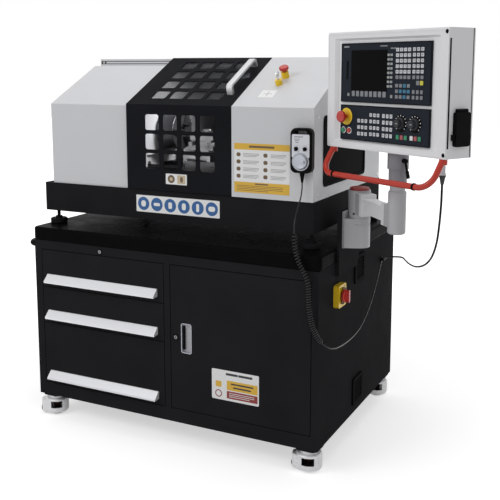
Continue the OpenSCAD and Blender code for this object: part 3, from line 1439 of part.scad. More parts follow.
// Straight stretches of the pendant's cord and the clip that ends them
module pendant_cord() {
    at_side() color(rubber_black) {
        tube(route(LEAD_POINTS, 1), cord_r, 8);
        tube(route(TAIL_POINTS, 2), cord_r, 8);
        translate([8, clip_y + clip_l/2, clip_z]) rotate([90, 0, 0]) cylinder(r = 7.5, h = clip_l);
        translate([0, clip_y - clip_l/2, clip_z - 14]) cube([3, clip_l, 28]);
    }
}

module cord_coil() {
    at_side() color(rubber_black) tube(route(COIL_POINTS, 1), coil_r, 12);
}

module console_lead() {
    at_side() color(rubber_black) tube(route(CONSOLE_LEAD_POINTS, 2), lead_r, 8);
}

// ---------------------------------------------------------------- nodes

cabinet_body();
worktop();
drawer_runners();
side_vents();
push_handle();
switch_base();
drawer_top();
drawer_middle();
drawer_bottom();
pull_top();
pull_middle();
pull_bottom();
cabinet_door();
door_lock();
drawer_lock();
switch_handle();
caster_front_left();
caster_front_right();
caster_back_left();
caster_back_right();
wheel_front_left();
wheel_front_right();
wheel_back_left();
wheel_back_right();
chip_tray();
headstock_cover();
tailstock_cover();
side_window();
cover_controls();
cover_estop();
cover_key();
guard_door();
guard_panes();
guard_handle();
lathe_bed();
headstock();
chuck();
carriage();
cross_slide();
tool_turret();
tailstock();
arm_bracket();
swing_arm();
console_body();
control_panels();
console_estop();
feed_knob();
spindle_knob();
start_button();
stop_button();
clamp_lever();
handlebar();
service_flap();
pendant_body();
mpg_wheel();
axis_knob();
step_knob();
pendant_cord();
cord_coil();
console_lead();
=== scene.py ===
"""Looks of a compact enclosed CNC lathe on a workshop cabinet: materials, cords, panels, keys and lights."""
import json
import math

import bmesh
import bpy
from mathutils import Matrix, Vector


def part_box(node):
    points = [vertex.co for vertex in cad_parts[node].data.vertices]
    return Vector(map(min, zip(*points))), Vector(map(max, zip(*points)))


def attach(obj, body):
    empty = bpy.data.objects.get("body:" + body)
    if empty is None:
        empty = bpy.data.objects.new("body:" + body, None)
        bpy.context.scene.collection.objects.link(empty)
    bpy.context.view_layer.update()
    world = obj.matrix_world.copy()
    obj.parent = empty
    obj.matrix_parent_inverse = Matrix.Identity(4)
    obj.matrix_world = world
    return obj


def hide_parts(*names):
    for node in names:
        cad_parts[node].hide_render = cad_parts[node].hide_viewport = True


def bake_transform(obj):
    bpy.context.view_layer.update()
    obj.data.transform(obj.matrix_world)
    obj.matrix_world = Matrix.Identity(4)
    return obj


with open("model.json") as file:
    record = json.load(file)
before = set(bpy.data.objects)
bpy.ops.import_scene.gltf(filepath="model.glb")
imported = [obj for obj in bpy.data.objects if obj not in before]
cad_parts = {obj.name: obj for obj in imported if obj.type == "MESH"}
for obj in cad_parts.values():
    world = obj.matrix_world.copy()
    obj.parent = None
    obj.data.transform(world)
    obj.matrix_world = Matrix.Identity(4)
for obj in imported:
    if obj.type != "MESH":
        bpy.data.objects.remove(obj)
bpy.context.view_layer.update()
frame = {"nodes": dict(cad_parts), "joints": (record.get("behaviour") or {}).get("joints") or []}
nodes = frame["nodes"]

# ------------------------------------------------------------ places and units

MM = 0.001
ORIGIN = Vector((0.600, -0.050, 0.0))  # the cabinet's front centre on the floor, in the row frame
RIGHT, BACK, UP = Vector((1, 0, 0)), Vector((0, 1, 0)), Vector((0, 0, 1))

# Faces of the part's source that the trim sits on, in millimetres from ORIGIN
SLOPE = math.radians(26.7)  # rise of the covers and the guard behind their knee
KNEE_Z = 1362
FRONT_Y = 66
SIDE_X = 650
WORKTOP_Z = 838
RAIL_Y, RAIL_Z = 434, 1512
PULL_X, PULL_Z = 96, 452.5
PENDANT_X, PENDANT_Y = 562, 29
DRUM_R = 50

# The console's box in its own turned frame, in millimetres from its post
CONSOLE_TURN = math.radians(-29)
CONSOLE_LEFT, CONSOLE_RIGHT = -288, 272
CONSOLE_MID_X, CONSOLE_MID_Z = -8, 1427
CONSOLE_FRONT_Y = -70
CONSOLE_Z = 1228


def spot(x, y, z):
    """A point given in millimetres from the cabinet's front centre."""
    return ORIGIN + Vector((x, y, z)) * MM


def at_side(x, y, z):
    """A point given in millimetres from the cabinet's right side, at the height of the worktop's top."""
    return spot(SIDE_X + x, y, WORKTOP_Z + z)


def joint(name):
    """The frame's row of a joint."""
    return next(j for j in frame["joints"] if j["name"] == name)


# Upright axes of the console and of the arm, in metres
POST = Vector(joint("console_turn")["pos_m"])
SWIVEL = Vector(joint("arm_swing")["pos_m"])


def facing(origin, right, up):
    """A place at origin whose local x runs to the right, y up and z out of the face."""
    out = right.cross(up)
    m = Matrix((right, up, out)).transposed().to_4x4()
    m.translation = origin
    return m


def on_front(x, y, z):
    """A place that faces the front."""
    return facing(spot(x, y, z), RIGHT, UP)


def on_side(y, z, x=SIDE_X):
    """A place that faces the right, on the cabinet's side unless another x is given."""
    return facing(spot(x, y, z), BACK, UP)


def on_slope(x, s):
    """A place on the covers' slope, s up from the knee."""
    up = Vector((0, math.cos(SLOPE), math.sin(SLOPE)))
    return facing(spot(x, FRONT_Y, KNEE_Z) + up * (s * MM), RIGHT, up)


def on_console(x, y, z, right=RIGHT):
    """A place in the console's turned frame, on its front unless another way to the right is given."""
    turn = Matrix.Rotation(CONSOLE_TURN, 3, "Z")
    origin = Vector((POST.x, POST.y, 0)) + turn @ Vector((x, y, z)) * MM
    return facing(origin, turn @ right, UP)


def on_console_side(y, z, x):
    """A place that faces the console's own right."""
    return on_console(x, y, z, BACK)


def placed(name, data):
    """A new object of the data, in the scene."""
    obj = bpy.data.objects.new(name, data)
    bpy.context.scene.collection.objects.link(obj)
    return obj


# ------------------------------------------------------------ camera

cam_data = bpy.data.cameras.new("camera")
cam = placed("camera", cam_data)
bpy.context.scene.camera = cam
cam.location = (2.3075, -2.7375, 1.5086)
cam.rotation_euler = (math.radians(90 - 8.48), 0, math.radians(26.38))
cam_data.lens = 59.53
cam_data.sensor_width = 36
cam_data.shift_y = -0.12
cam_data.clip_start = 0.05
cam_data.clip_end = 60

# ------------------------------------------------------------ materials


def linear(rgb):
    """Linear colour of an sRGB colour given from 0 to 255."""
    return tuple((c / 255 / 12.92) if c <= 10 else ((c / 255 + 0.055) / 1.055) ** 2.4 for c in rgb)


def blank_material(name):
    """A material with no node but its output."""
    mat = bpy.data.materials.new(name)
    mat.use_nodes = True
    tree = mat.node_tree
    tree.nodes.clear()
    return mat, tree, tree.nodes.new("ShaderNodeOutputMaterial")


def new_material(name):
    """A material with one principled shader."""
    mat, tree, out = blank_material(name)
    shader = tree.nodes.new("ShaderNodeBsdfPrincipled")
    tree.links.new(shader.outputs[0], out.inputs[0])
    return mat, tree, shader


def noise(tree, scale, detail, stretch=(1, 1, 1)):
    """Noise over the object's own coordinates, drawn out along an axis where stretch is small."""
    where = tree.nodes.new("ShaderNodeTexCoord")
    fit = tree.nodes.new("ShaderNodeMapping")
    fit.inputs["Scale"].default_value = stretch
    tree.links.new(where.outputs["Object"], fit.inputs[0])
    tex = tree.nodes.new("ShaderNodeTexNoise")
    tex.inputs["Scale"].default_value = scale
    tex.inputs["Detail"].default_value = detail
    tree.links.new(fit.outputs[0], tex.inputs["Vector"])
    return tex.outputs["Fac"]


def ranged(tree, value, source, target, smooth=False):
    """The value carried from one range to another and held within it."""
    fit = tree.nodes.new("ShaderNodeMapRange")
    if smooth:
        fit.interpolation_type = "SMOOTHSTEP"
    for socket, limit in zip(("From Min", "From Max", "To Min", "To Max"), (*source, *target)):
        fit.inputs[socket].default_value = limit
    tree.links.new(value, fit.inputs["Value"])
    return fit.outputs[0]


def spread(tree, value, low, high):
    """The middle of a noise's values, stretched from low to high."""
    return ranged(tree, value, (0.3, 0.7), (low, high))


def mixed(tree, factor, a, b):
    """Colour a where the factor is 0 and b where it is 1; each is a tuple or a node's output."""
    mix = tree.nodes.new("ShaderNodeMix")
    mix.data_type = "RGBA"
    tree.links.new(factor, mix.inputs["Factor"])
    for socket, value in ((mix.inputs[6], a), (mix.inputs[7], b)):
        if isinstance(value, tuple):
            socket.default_value = (*value, 1)
        else:
            tree.links.new(value, socket)
    return mix.outputs[2]


ROUGH_SWING = 0.06


def finish_of(name, rgb, rough, metal=0.0, coat=0.0, mottle=0.05, cloud=5.0, grain=0.05, pitch=900.0,
              stretch=(1, 1, 1), gloss=0.4, zones=None):
    """A painted, moulded, cast or brushed surface: cloudy colour, uneven gloss and a fine grain."""
    mat, tree, shader = new_material(name)
    base = linear(rgb)
    dark = tuple(c * (1 - mottle) for c in base)
    pale = tuple(min(1.0, c * (1 + mottle) + 0.0005) for c in base)
    colour = mixed(tree, spread(tree, noise(tree, cloud, 4.0, stretch), 0, 1), dark, pale)
    if zones:
        colour = zones(tree, colour)
    tree.links.new(colour, shader.inputs["Base Color"])
    worn = spread(tree, noise(tree, cloud * 3.1, 3.0, stretch), rough - ROUGH_SWING, rough + ROUGH_SWING)
    tree.links.new(worn, shader.inputs["Roughness"])
    shader.inputs["Metallic"].default_value = metal
    shader.inputs["Specular IOR Level"].default_value = gloss
    shader.inputs["Coat Weight"].default_value = coat
    shader.inputs["Coat Roughness"].default_value = 0.2
    bump = tree.nodes.new("ShaderNodeBump")
    bump.inputs["Strength"].default_value = grain
    bump.inputs["Distance"].default_value = 0.0006
    tree.links.new(noise(tree, pitch, 1.0, stretch), bump.inputs["Height"])
    tree.links.new(bump.outputs[0], shader.inputs["Normal"])
    return mat


def maths(tree, kind, value, limit):
    """One step of arithmetic on a value and a number or another value."""
    node = tree.nodes.new("ShaderNodeMath")
    node.operation = kind
    tree.links.new(value, node.inputs[0])
    if isinstance(limit, float):
        node.inputs[1].default_value = limit
    else:
        tree.links.new(limit, node.inputs[1])
    return node.outputs[0]


def place_of(tree):
    """The x, y and z of the shaded point in the row frame."""
    where = tree.nodes.new("ShaderNodeTexCoord")
    split = tree.nodes.new("ShaderNodeSeparateXYZ")
    tree.links.new(where.outputs["Object"], split.inputs[0])
    return split.outputs


def both_of(tree, a, b):
    """1 where both of two tests are 1."""
    return maths(tree, "MULTIPLY", a, b)


def off_axis(tree, at, axis):
    """Distance of the shaded point from an upright axis."""
    off = tree.nodes.new("ShaderNodeVectorMath")
    off.operation = "DISTANCE"
    flat = tree.nodes.new("ShaderNodeCombineXYZ")
    tree.links.new(at["X"], flat.inputs["X"])
    tree.links.new(at["Y"], flat.inputs["Y"])
    tree.links.new(flat.outputs[0], off.inputs[0])
    off.inputs[1].default_value = (axis.x, axis.y, 0)
    return off.outputs["Value"]


HEAD_R = 72  # radii round the arm's two axes, in millimetres
FOOT_R = 52
SLEEVE_R = 60
BOOT_TOP = 58  # below the console


def arm_link_painted_highlight(tree, colour):
    """Painted highlight: a paler colour on the arm's bar, between the swivel's head and the post's foot,
    where the bar faces the light.
    """
    at = place_of(tree)
    past_head = maths(tree, "GREATER_THAN", off_axis(tree, at, SWIVEL), HEAD_R * MM)
    past_foot = maths(tree, "GREATER_THAN", off_axis(tree, at, POST), FOOT_R * MM)
    # Painted highlight: the bar's paler grey stands in for the light it catches.
    return mixed(tree, both_of(tree, past_head, past_foot), colour, linear((224, 224, 226)))


def below_console(tree, colour):
    """Grey sleeve and collar on the post, bright connector and black boot, all below the console."""
    at = place_of(tree)
    under = maths(tree, "LESS_THAN", at["Z"], CONSOLE_Z * MM)
    by_post = both_of(tree, under, maths(tree, "LESS_THAN", off_axis(tree, at, POST), SLEEVE_R * MM))
    boot = maths(tree, "LESS_THAN", at["Z"], (CONSOLE_Z - BOOT_TOP) * MM)
    colour = mixed(tree, under, colour, linear((196, 196, 200)))
    colour = mixed(tree, boot, colour, linear((18, 18, 19)))
    return mixed(tree, by_post, colour, linear((132, 131, 137)))


def inside_cover_painted_shade(tree, colour):
    """Painted shade: a dark colour on the back sheet and under the roof, inside the machining space, where
    little light reaches.
    """
    at = place_of(tree)
    corner = spot(-205, 841.5, 1510.5)  # just outside the sheets' inner faces
    beside = maths(tree, "GREATER_THAN", at["X"], corner.x)
    under = both_of(tree, maths(tree, "LESS_THAN", at["Y"], corner.y),
                    maths(tree, "LESS_THAN", at["Z"], corner.z))
    # Painted shade: near-black where the enclosure's inside lies in shade.
    return mixed(tree, both_of(tree, beside, under), colour, linear((30, 31, 33)))


def caster_pads_and_window_shade(tree, colour):
    """Black pads on the floor, and painted shade on the sills and inner walls in the windows of the four
    drums.
    """
    pivots = [Vector(joint(c + "_caster_swivel")["pos_m"]) for c in ("front_left", "back_right")]
    middle = (pivots[0] + pivots[1]) / 2
    half = pivots[1] - middle
    at = place_of(tree)
    apart = []
    for axis, centre, reach in (("X", middle.x, half.x), ("Y", middle.y, half.y)):
        off = maths(tree, "SUBTRACT", at[axis], centre)
        off = maths(tree, "ABSOLUTE", off, 0.0)
        off = maths(tree, "SUBTRACT", off, reach)
        apart.append(maths(tree, "POWER", maths(tree, "ABSOLUTE", off, 0.0), 2.0))
    inner = maths(tree, "LESS_THAN", maths(tree, "ADD", apart[0], apart[1]), ((DRUM_R - 1.5) * MM) ** 2)
    window = both_of(tree, maths(tree, "GREATER_THAN", at["Z"], 33 * MM),
                     maths(tree, "LESS_THAN", at["Z"], 65 * MM))
    # Painted shade: dark reddish brown on each drum's window sill and inner walls, where shadow falls in the
    # window.
    colour = mixed(tree, both_of(tree, inner, window), colour, linear((20, 17, 17)))
    return mixed(tree, maths(tree, "LESS_THAN", at["Z"], 9 * MM), colour, linear((20, 20, 20)))


M = {
    "cabinet": finish_of("cabinet_black", (38, 38, 40), 0.36, grain=0.12, pitch=1300, mottle=0.08,
                         gloss=0.001),
    "worktop": finish_of("worktop_black", (16, 16, 17), 0.3, grain=0.05, pitch=500, mottle=0.1, gloss=0.004),
    "tray": finish_of("tray_black", (36, 36, 38), 0.36, grain=0.1, pitch=1100, mottle=0.08, gloss=0.002),
    "cover": finish_of("cover_grey", (209, 210, 213), 0.4, grain=0.05, pitch=1200, mottle=0.015),
    # The left cover's grey, with painted shade on the back sheet and under the roof inside the machining
    # space.
    "left_cover": finish_of("left_cover_grey", (209, 210, 213), 0.4, grain=0.05, pitch=1200, mottle=0.015,
                            zones=inside_cover_painted_shade),
    "guard": finish_of("guard_black", (30, 31, 34), 0.38, grain=0.14, pitch=1300, mottle=0.08, gloss=0.006),
    "console": finish_of("console_grey", (236, 236, 238), 0.42, grain=0.04, mottle=0.012,
                         zones=below_console),
    "frame": finish_of("console_frame", (236, 236, 238), 0.4, grain=0.04, mottle=0.012),
    "panel": finish_of("panel_slate", (39, 44, 52), 0.46, grain=0.03, mottle=0.03, gloss=0.04),
    "arm": finish_of("arm_grey", (178, 178, 182), 0.4, grain=0.1, pitch=700, mottle=0.02),
    # Arm grey with a painted highlight on the bar, between the swivel's head and the post's foot.
    "link": finish_of("link_grey", (178, 178, 182), 0.4, grain=0.1, pitch=700, mottle=0.02,
                      zones=arm_link_painted_highlight),
    "handlebar": finish_of("handlebar_red", (190, 52, 36), 0.34, coat=0.15, grain=0.02, mottle=0.03,
                           gloss=0.25),
    "pull": finish_of("pull_aluminium", (232, 233, 236), 0.34, metal=0.25, grain=0.08, stretch=(0.02, 1, 1)),
    "chrome": finish_of("lock_chrome", (200, 200, 200), 0.18, metal=1.0, grain=0.02),
    "lock": finish_of("lock_steel", (118, 118, 120), 0.3, metal=1.0, grain=0.02),
    "zinc": finish_of("runner_zinc", (170, 172, 176), 0.35, metal=0.9, grain=0.05, stretch=(1, 0.05, 1)),
    "steel": finish_of("ground_steel", (172, 172, 174), 0.3, metal=0.95, grain=0.08, stretch=(1, 0.08, 1)),
    "chuck": finish_of("chuck_steel", (96, 96, 99), 0.36, metal=0.8, grain=0.06, cloud=9),
    "bed": finish_of("bed_iron", (46, 46, 48), 0.5, metal=0.6, grain=0.2, pitch=300),
    "head": finish_of("head_white", (222, 222, 224), 0.32, grain=0.04, mottle=0.02),
    "bow": finish_of("bow_steel", (214, 214, 216), 0.3, metal=0.6, grain=0.05, stretch=(1, 0.05, 0.05)),
    "rubber": finish_of("rubber_black", (15, 15, 15), 0.5, grain=0.1, pitch=700, gloss=0.02),
    "cord": finish_of("cord_jacket", (12, 12, 13), 0.28, grain=0.03, pitch=500, gloss=0.1),
    "coil": finish_of("coil_jacket", (11, 11, 12), 0.26, grain=0.03, pitch=500, gloss=0.32),
    "gloss_black": finish_of("gloss_black", (8, 8, 8), 0.16, grain=0.0, mottle=0.2, gloss=0.03),
    "black": finish_of("moulded_black", (17, 17, 18), 0.36, grain=0.08, pitch=900, gloss=0.02),
    "yellow": finish_of("signal_yellow", (240, 200, 40), 0.35, grain=0.03, mottle=0.03),
    "red": finish_of("signal_red", (192, 46, 38), 0.32, coat=0.2, grain=0.03, mottle=0.03),
    "green": finish_of("signal_green", (48, 140, 100), 0.35, grain=0.03, mottle=0.03),
    "dial": finish_of("dial_metal", (180, 184, 192), 0.34, metal=0.35, grain=0.05),
    "plate": finish_of("plate_silver", (206, 208, 214), 0.36, metal=0.2, grain=0.05),
    "vent": finish_of("vent_black", (20, 20, 21), 0.4, grain=0.06, mottle=0.1, gloss=0.002),
    "knob": finish_of("knob_grey", (58, 60, 64), 0.42, grain=0.04, mottle=0.05, gloss=0.2),
    # Pale coat with black pads, and painted shade in the drums' windows.
    "caster": finish_of("caster_coat", (240, 240, 242), 0.3, metal=0.15, grain=0.3, pitch=500, mottle=0.05,
                        cloud=40, zones=caster_pads_and_window_shade),
    "white": finish_of("print_white", (236, 236, 236), 0.4, grain=0.02, mottle=0.01),
    "amber": finish_of("print_amber", (222, 178, 66), 0.42, grain=0.02, mottle=0.02),
    "grey_print": finish_of("print_grey", (150, 150, 152), 0.45, grain=0.02, mottle=0.03),
    "red_print": finish_of("print_red", (140, 54, 50), 0.45, grain=0.02, mottle=0.03),
    "brown_print": finish_of("print_brown", (104, 84, 62), 0.45, grain=0.02, mottle=0.05),
    "tan_print": finish_of("print_tan", (198, 182, 152), 0.45, grain=0.02, mottle=0.05),
    "blue": finish_of("print_blue", (38, 92, 150), 0.4, grain=0.02, mottle=0.03),
    "key_pale": finish_of("key_pale", (208, 209, 214), 0.45, grain=0.02, mottle=0.05),
    "key_grey": finish_of("key_grey", (128, 130, 136), 0.45, grain=0.02, mottle=0.06),
    "key_soft": finish_of("key_soft", (158, 162, 160), 0.45, grain=0.02, mottle=0.06),
    "key_lime": finish_of("key_lime", (214, 206, 76), 0.42, grain=0.02, mottle=0.04),
    "key_red": finish_of("key_red", (168, 84, 92), 0.42, grain=0.02, mottle=0.04),
    "key_blue": finish_of("key_blue", (58, 116, 146), 0.45, grain=0.02, mottle=0.06),
    "thumb": finish_of("thumb_dark_red", (52, 20, 19), 0.4, grain=0.05, mottle=0.2, gloss=0.2),
    "ink": finish_of("print_ink", (40, 42, 46), 0.45, grain=0.02, mottle=0.05),
    "screw": finish_of("screw_black", (46, 46, 48), 0.3, metal=0.7, grain=0.02),
}


def clear_sheet(name, rgb, share, upper_share, knee):
    """A thin sheet that mirrors a little: almost clear below the knee's height; above it a grey, partly
    opaque layer is a painted reflection on the sloped panes, which also dims the space behind them.
    """
    mat, tree, shader = new_material(name)
    tree.links.new(spread(tree, noise(tree, 3.0, 3.0), 0.05, 0.12), shader.inputs["Roughness"])
    tree.links.new(mixed(tree, noise(tree, 1.5, 2.0), linear(rgb), linear(tuple(c * 0.9 for c in rgb))),
                   shader.inputs["Base Color"])
    # Painted reflection: the sheet grows grey and less clear above the knee, where the panes slope.
    alpha = ranged(tree, place_of(tree)["Z"], ((knee - 4) * MM, (knee + 4) * MM), (share, upper_share))
    tree.links.new(alpha, shader.inputs["Alpha"])
    shader.inputs["Specular IOR Level"].default_value = 0.15
    return mat


# Guard panes: nearly clear at the front, with a painted reflection on the slope.
M["pane"] = clear_sheet("pane_clear", (60, 63, 66), 0.02, 0.35, KNEE_Z - 20)
M["tint"] = finish_of("side_window_tint", (15, 15, 16), 0.2, grain=0.0, mottle=0.2, gloss=0.002)

NODE_FINISH = {
    "cabinet_body": "cabinet", "worktop": "worktop", "drawer_runners": "zinc", "side_vents": "vent",
    "push_handle": "black", "switch_base": "yellow", "drawer_top": "cabinet", "drawer_middle": "cabinet",
    "drawer_bottom": "cabinet", "pull_top": "pull", "pull_middle": "pull", "pull_bottom": "pull",
    "cabinet_door": "cabinet", "door_lock": "lock", "drawer_lock": "lock", "switch_handle": "red",
    "chip_tray": "tray", "headstock_cover": "left_cover", "tailstock_cover": "cover", "side_window": "tint",
    "cover_controls": "yellow", "cover_estop": "red", "cover_key": "chrome", "guard_door": "guard",
    "guard_panes": "pane", "guard_handle": "bow", "lathe_bed": "bed", "headstock": "head", "chuck": "chuck",
    "carriage": "steel", "cross_slide": "steel", "tool_turret": "steel", "tailstock": "steel",
    "arm_bracket": "arm", "swing_arm": "link", "console_body": "console", "control_panels": "panel",
    "console_estop": "red", "feed_knob": "knob", "spindle_knob": "knob", "start_button": "green",
    "stop_button": "red", "clamp_lever": "black", "handlebar": "handlebar", "service_flap": "black",
    "pendant_body": "black", "mpg_wheel": "dial", "axis_knob": "black", "step_knob": "black",
    "pendant_cord": "cord", "cord_coil": "cord", "console_lead": "cord",
}
for corner in ("front_left", "front_right", "back_left", "back_right"):
    NODE_FINISH["caster_" + corner] = "caster"
    NODE_FINISH["wheel_" + corner] = "rubber"
for node_name, finish_name in NODE_FINISH.items():
    node = nodes[node_name]
    node.data.materials.clear()
    node.data.materials.append(M[finish_name])

# ------------------------------------------------------------ mesh helpers


def object_of(name, bm, finish_name):
    """An object of the mesh, smooth, with its faces turned outward and its finish."""
    bmesh.ops.recalc_face_normals(bm, faces=bm.faces)
    mesh = bpy.data.meshes.new(name)
    bm.to_mesh(mesh)
    bm.free()
    mesh.materials.append(M[finish_name])
    mesh.shade_smooth()
    return placed(name, mesh)


def piece(name, bm, finish_name, body, bevel=0.0):
    """An object of the mesh, with sharp edges kept sharp, that rides on its body."""
    bmesh.ops.remove_doubles(bm, verts=bm.verts, dist=1e-6)
    obj = object_of(name, bm, finish_name)
    obj.data.set_sharp_from_angle(angle=math.radians(35))
    if bevel:
        edge = obj.modifiers.new("edge", "BEVEL")
        edge.width = bevel * MM
        edge.segments = 2
        edge.limit_method = "ANGLE"
        edge.angle_limit = math.radians(40)
    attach(obj, body)
    return obj


def outline(w, h, r, corner=5):
    """Points of a rectangle with round corners, centred, in millimetres."""
    points = []
    for cx, cy, start in ((1, 1, 0), (-1, 1, 90), (-1, -1, 180), (1, -1, 270)):
        for i in range(corner + 1):
            a = math.radians(start + 90 * i / corner)
            points.append((cx * (w / 2 - r) + r * math.cos(a), cy * (h / 2 - r) + r * math.sin(a)))
    return points


def prism(bm, place, points, z0, z1, scale=1.0):
    """Closed prism of an outline, from height z0 to z1 over a place; the top may be scaled."""
    low = [bm.verts.new(place @ (Vector((x, y, z0)) * MM)) for x, y in points]
    top = [bm.verts.new(place @ (Vector((x * scale, y * scale, z1)) * MM)) for x, y in points]
    bm.faces.new(low[::-1])
    bm.faces.new(top)
    for i in range(len(points)):
        k = (i + 1) % len(points)
        bm.faces.new((low[i], low[k], top[k], top[i]))


def slab(bm, place, w, h, r, z0, z1, x=0.0, y=0.0, corner=4, scale=1.0):
    """Flat block with round corners, w by h, from height z0 to z1 over a place."""
    prism(bm, place @ Matrix.Translation((x * MM, y * MM, 0)), outline(w, h, r, corner), z0, z1, scale)


def turned(bm, place, profile, steps=40):
    """Solid of revolution about the place's z, from (radius, height) pairs."""
    rings = []
    for r, z in profile:
        if r < 1e-6:
            rings.append([bm.verts.new(place @ (Vector((0, 0, z)) * MM))])
        else:
            rings.append([bm.verts.new(place @ (Vector((
                r * math.cos(2 * math.pi * i / steps), r * math.sin(2 * math.pi * i / steps), z)) * MM))
                for i in range(steps)])
    for a, b in zip(rings, rings[1:]):
        for i in range(steps):
            k = (i + 1) % steps
            face = []
            for ring, idx in ((a, i), (a, k), (b, k), (b, i)):
                v = ring[idx] if len(ring) > 1 else ring[0]
                if v not in face:
                    face.append(v)
            if len(face) > 2:
                bm.faces.new(face)


def route(points, n):
    """The same smooth curve as in the part's source: n steps between two points."""
    p = [Vector(q) for q in points]
    out = []
    for i in range(len(p) - 1):
        a, b, c, d = p[max(i - 1, 0)], p[i], p[i + 1], p[min(i + 2, len(p) - 1)]
        for k in range(n):
            t = k / n
            out.append(0.5 * (2 * b + (c - a) * t + (2 * a - 5 * b + 4 * c - d) * t * t
                              + (3 * b - a - 3 * c + d) * t ** 3))
    return out + [p[-1]]


def along(points):
    """Length of a line of points."""
    return sum((b - a).length for a, b in zip(points, points[1:]))


def frames(points):
    """Tangent and two side vectors at each point, carried along without twist."""
    made = []
    side = Vector((0.31, 0.95, 0.07))
    for i in range(len(points)):
        t = (points[min(i + 1, len(points) - 1)] - points[max(i - 1, 0)]).normalized()
        side = (side - t * side.dot(t)).normalized()
        made.append((t, side, t.cross(side)))
    return made


TUBE_SIDES = 12


def tube(name, points, r, finish_name):
    """Closed mesh tube of radius r millimetres along points in metres."""
    bm = bmesh.new()
    rings = []
    turns = [2 * math.pi * k / TUBE_SIDES for k in range(TUBE_SIDES)]
    for p, (_, u, v) in zip(points, frames(points)):
        rings.append([bm.verts.new(p + (u * math.cos(a) + v * math.sin(a)) * r * MM) for a in turns])
    for a, b in zip(rings, rings[1:]):
        for k in range(TUBE_SIDES):
            j = (k + 1) % TUBE_SIDES
            bm.faces.new((a[k], a[j], b[j], b[k]))
    bm.faces.new(rings[0][::-1])
    bm.faces.new(rings[-1])
    return object_of(name, bm, finish_name)


# ------------------------------------------------------------ cords

# Routes of the pendant's cord (three stretches) and the console's lead, for at_side, as in the part's source
LEAD_POINTS = [
    (-88, 46, 256), (-88, 45, 232), (-89, 36, 202), (-90, 14, 170), (-89, -10, 140),
    (-88, -24, 110), (-87, -26, 90),
]
COIL_POINTS = [
    (-87, -26, 90), (-85, -26, 52), (-80, -27, 17), (-69, -28, -16), (-51, -29, -48),
    (-37, -29, -74), (-30, -29, -102), (-28, -29, -138), (-26, -28, -183), (-21, -26, -223),
    (-12, -23, -260), (2, -18, -292), (20, -10, -316),
]
TAIL_POINTS = [
    (20, -10, -316), (36, 8, -334), (44, 50, -348), (42, 110, -360), (36, 200, -372),
    (30, 300, -378), (26, 390, -370), (23, 470, -344), (21, 545, -302), (19, 605, -252),
    (17, 650, -210), (14, 682, -183), (10, 708, -169), (8, 728, -164),
]
CONSOLE_LEAD_POINTS = [
    (8, 746, -164), (12, 774, -164), (30, 800, -163), (58, 804, -161), (82, 786, -158),
    (110, 729, -154), (155, 620, -140), (213, 481, -115), (270, 342, -81), (327, 204, -38),
    (373, 93, 8), (404, 18, 53), (427, -37, 107), (441, -72, 170), (449, -92, 232),
    (451, -97, 277), (451, -97, 302),
]
PENDANT_CORD = 5.0  # diameters
CONSOLE_CORD = 7.5
CURL_R = 8.5
CURL_PITCH = (12.0, 7.0)  # stretched by the weight at the top, close at the bottom
TURN_STEPS = 14
LEAD_STEPS = 6
SPLIT = 10 * LEAD_STEPS  # the lead's point where its two pieces meet
LEAD_BEND = 4 * LEAD_STEPS  # a point of the near piece, at its fifth route point
LEAD_END = 14  # a count of points at the far piece's end


def curly(points):
    """The helix of a curly cord round its route, easing in and out at its ends, in millimetres."""
    line = route(points, 24)
    at = [0.0]
    for a, b in zip(line, line[1:]):
        at.append(at[-1] + (b - a).length)
    side = frames(line)
    high, low = CURL_PITCH
    turns = round(at[-1] / ((high + low) / 2))
    count = turns * TURN_STEPS
    made, k = [], 0
    for i in range(count + 1):
        f = i / count
        s = at[-1] * (high * f + (low - high) * f * f / 2) / ((high + low) / 2)
        while k < len(at) - 2 and at[k + 1] < s:
            k += 1
        t = (s - at[k]) / (at[k + 1] - at[k])
        p = line[k].lerp(line[k + 1], t)
        u = side[k][1].lerp(side[k + 1][1], t).normalized()
        v = side[k][2].lerp(side[k + 1][2], t).normalized()
        ease = min(1.0, s / (1.5 * high), (at[-1] - s) / (2 * low))
        ease = ease * ease * (3 - 2 * ease)
        a = 2 * math.pi * turns * f
        made.append(p + (u * math.cos(a) + v * math.sin(a)) * CURL_R * ease)
    return made


whole = route(LEAD_POINTS, 4)[:-1] + curly(COIL_POINTS) + route(TAIL_POINTS, 5)[1:]
whole = [at_side(*p) for p in whole]
curve = bpy.data.curves.new("pendant_cord_line", "CURVE")
curve.dimensions = "3D"
curve.bevel_depth = PENDANT_CORD / 2 * MM
curve.bevel_resolution = 3
curve.use_fill_caps = True
line = curve.splines.new("POLY")
line.points.add(len(whole) - 1)
for point, p in zip(line.points, whole):
    point.co = (*p, 1)
curve.materials.append(M["coil"])
pendant_line = placed("pendant_cord_line", curve)
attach(pendant_line, "machine")
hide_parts("pendant_cord", "cord_coil")

bm = bmesh.new()
slab(bm, facing(at_side(0, 737, -164), BACK, UP), 18, 28, 3, 0, 3)
turned(bm, facing(at_side(8, 728, -164), RIGHT, -UP),
       [(0, 0), (6.4, 0), (7.5, 1.2), (7.5, 16.8), (6.4, 18), (0, 18)], 24)
cord_clip = piece("cord_clip", bm, "black", "machine")
at_side(*LEAD_POINTS[0])
along(whole)

lead = [at_side(*p) for p in route(CONSOLE_LEAD_POINTS, LEAD_STEPS)]
near, far = lead[:SPLIT + 1], lead[SPLIT:]
lead_a = tube("console_lead_near", near, CONSOLE_CORD / 2, "cord")
lead_b = tube("console_lead_far", far, CONSOLE_CORD / 2, "cord")
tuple(near[LEAD_BEND])
tuple(near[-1])
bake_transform(lead_a)
tuple(far[0])
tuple(far[-LEAD_END])
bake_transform(lead_b)
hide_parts("console_lead")
tuple(near[0])
along(near)
[tuple(p) for p in near]
tuple(far[0])
along(far)
[tuple(p) for p in far]

# ------------------------------------------------------------ console panels

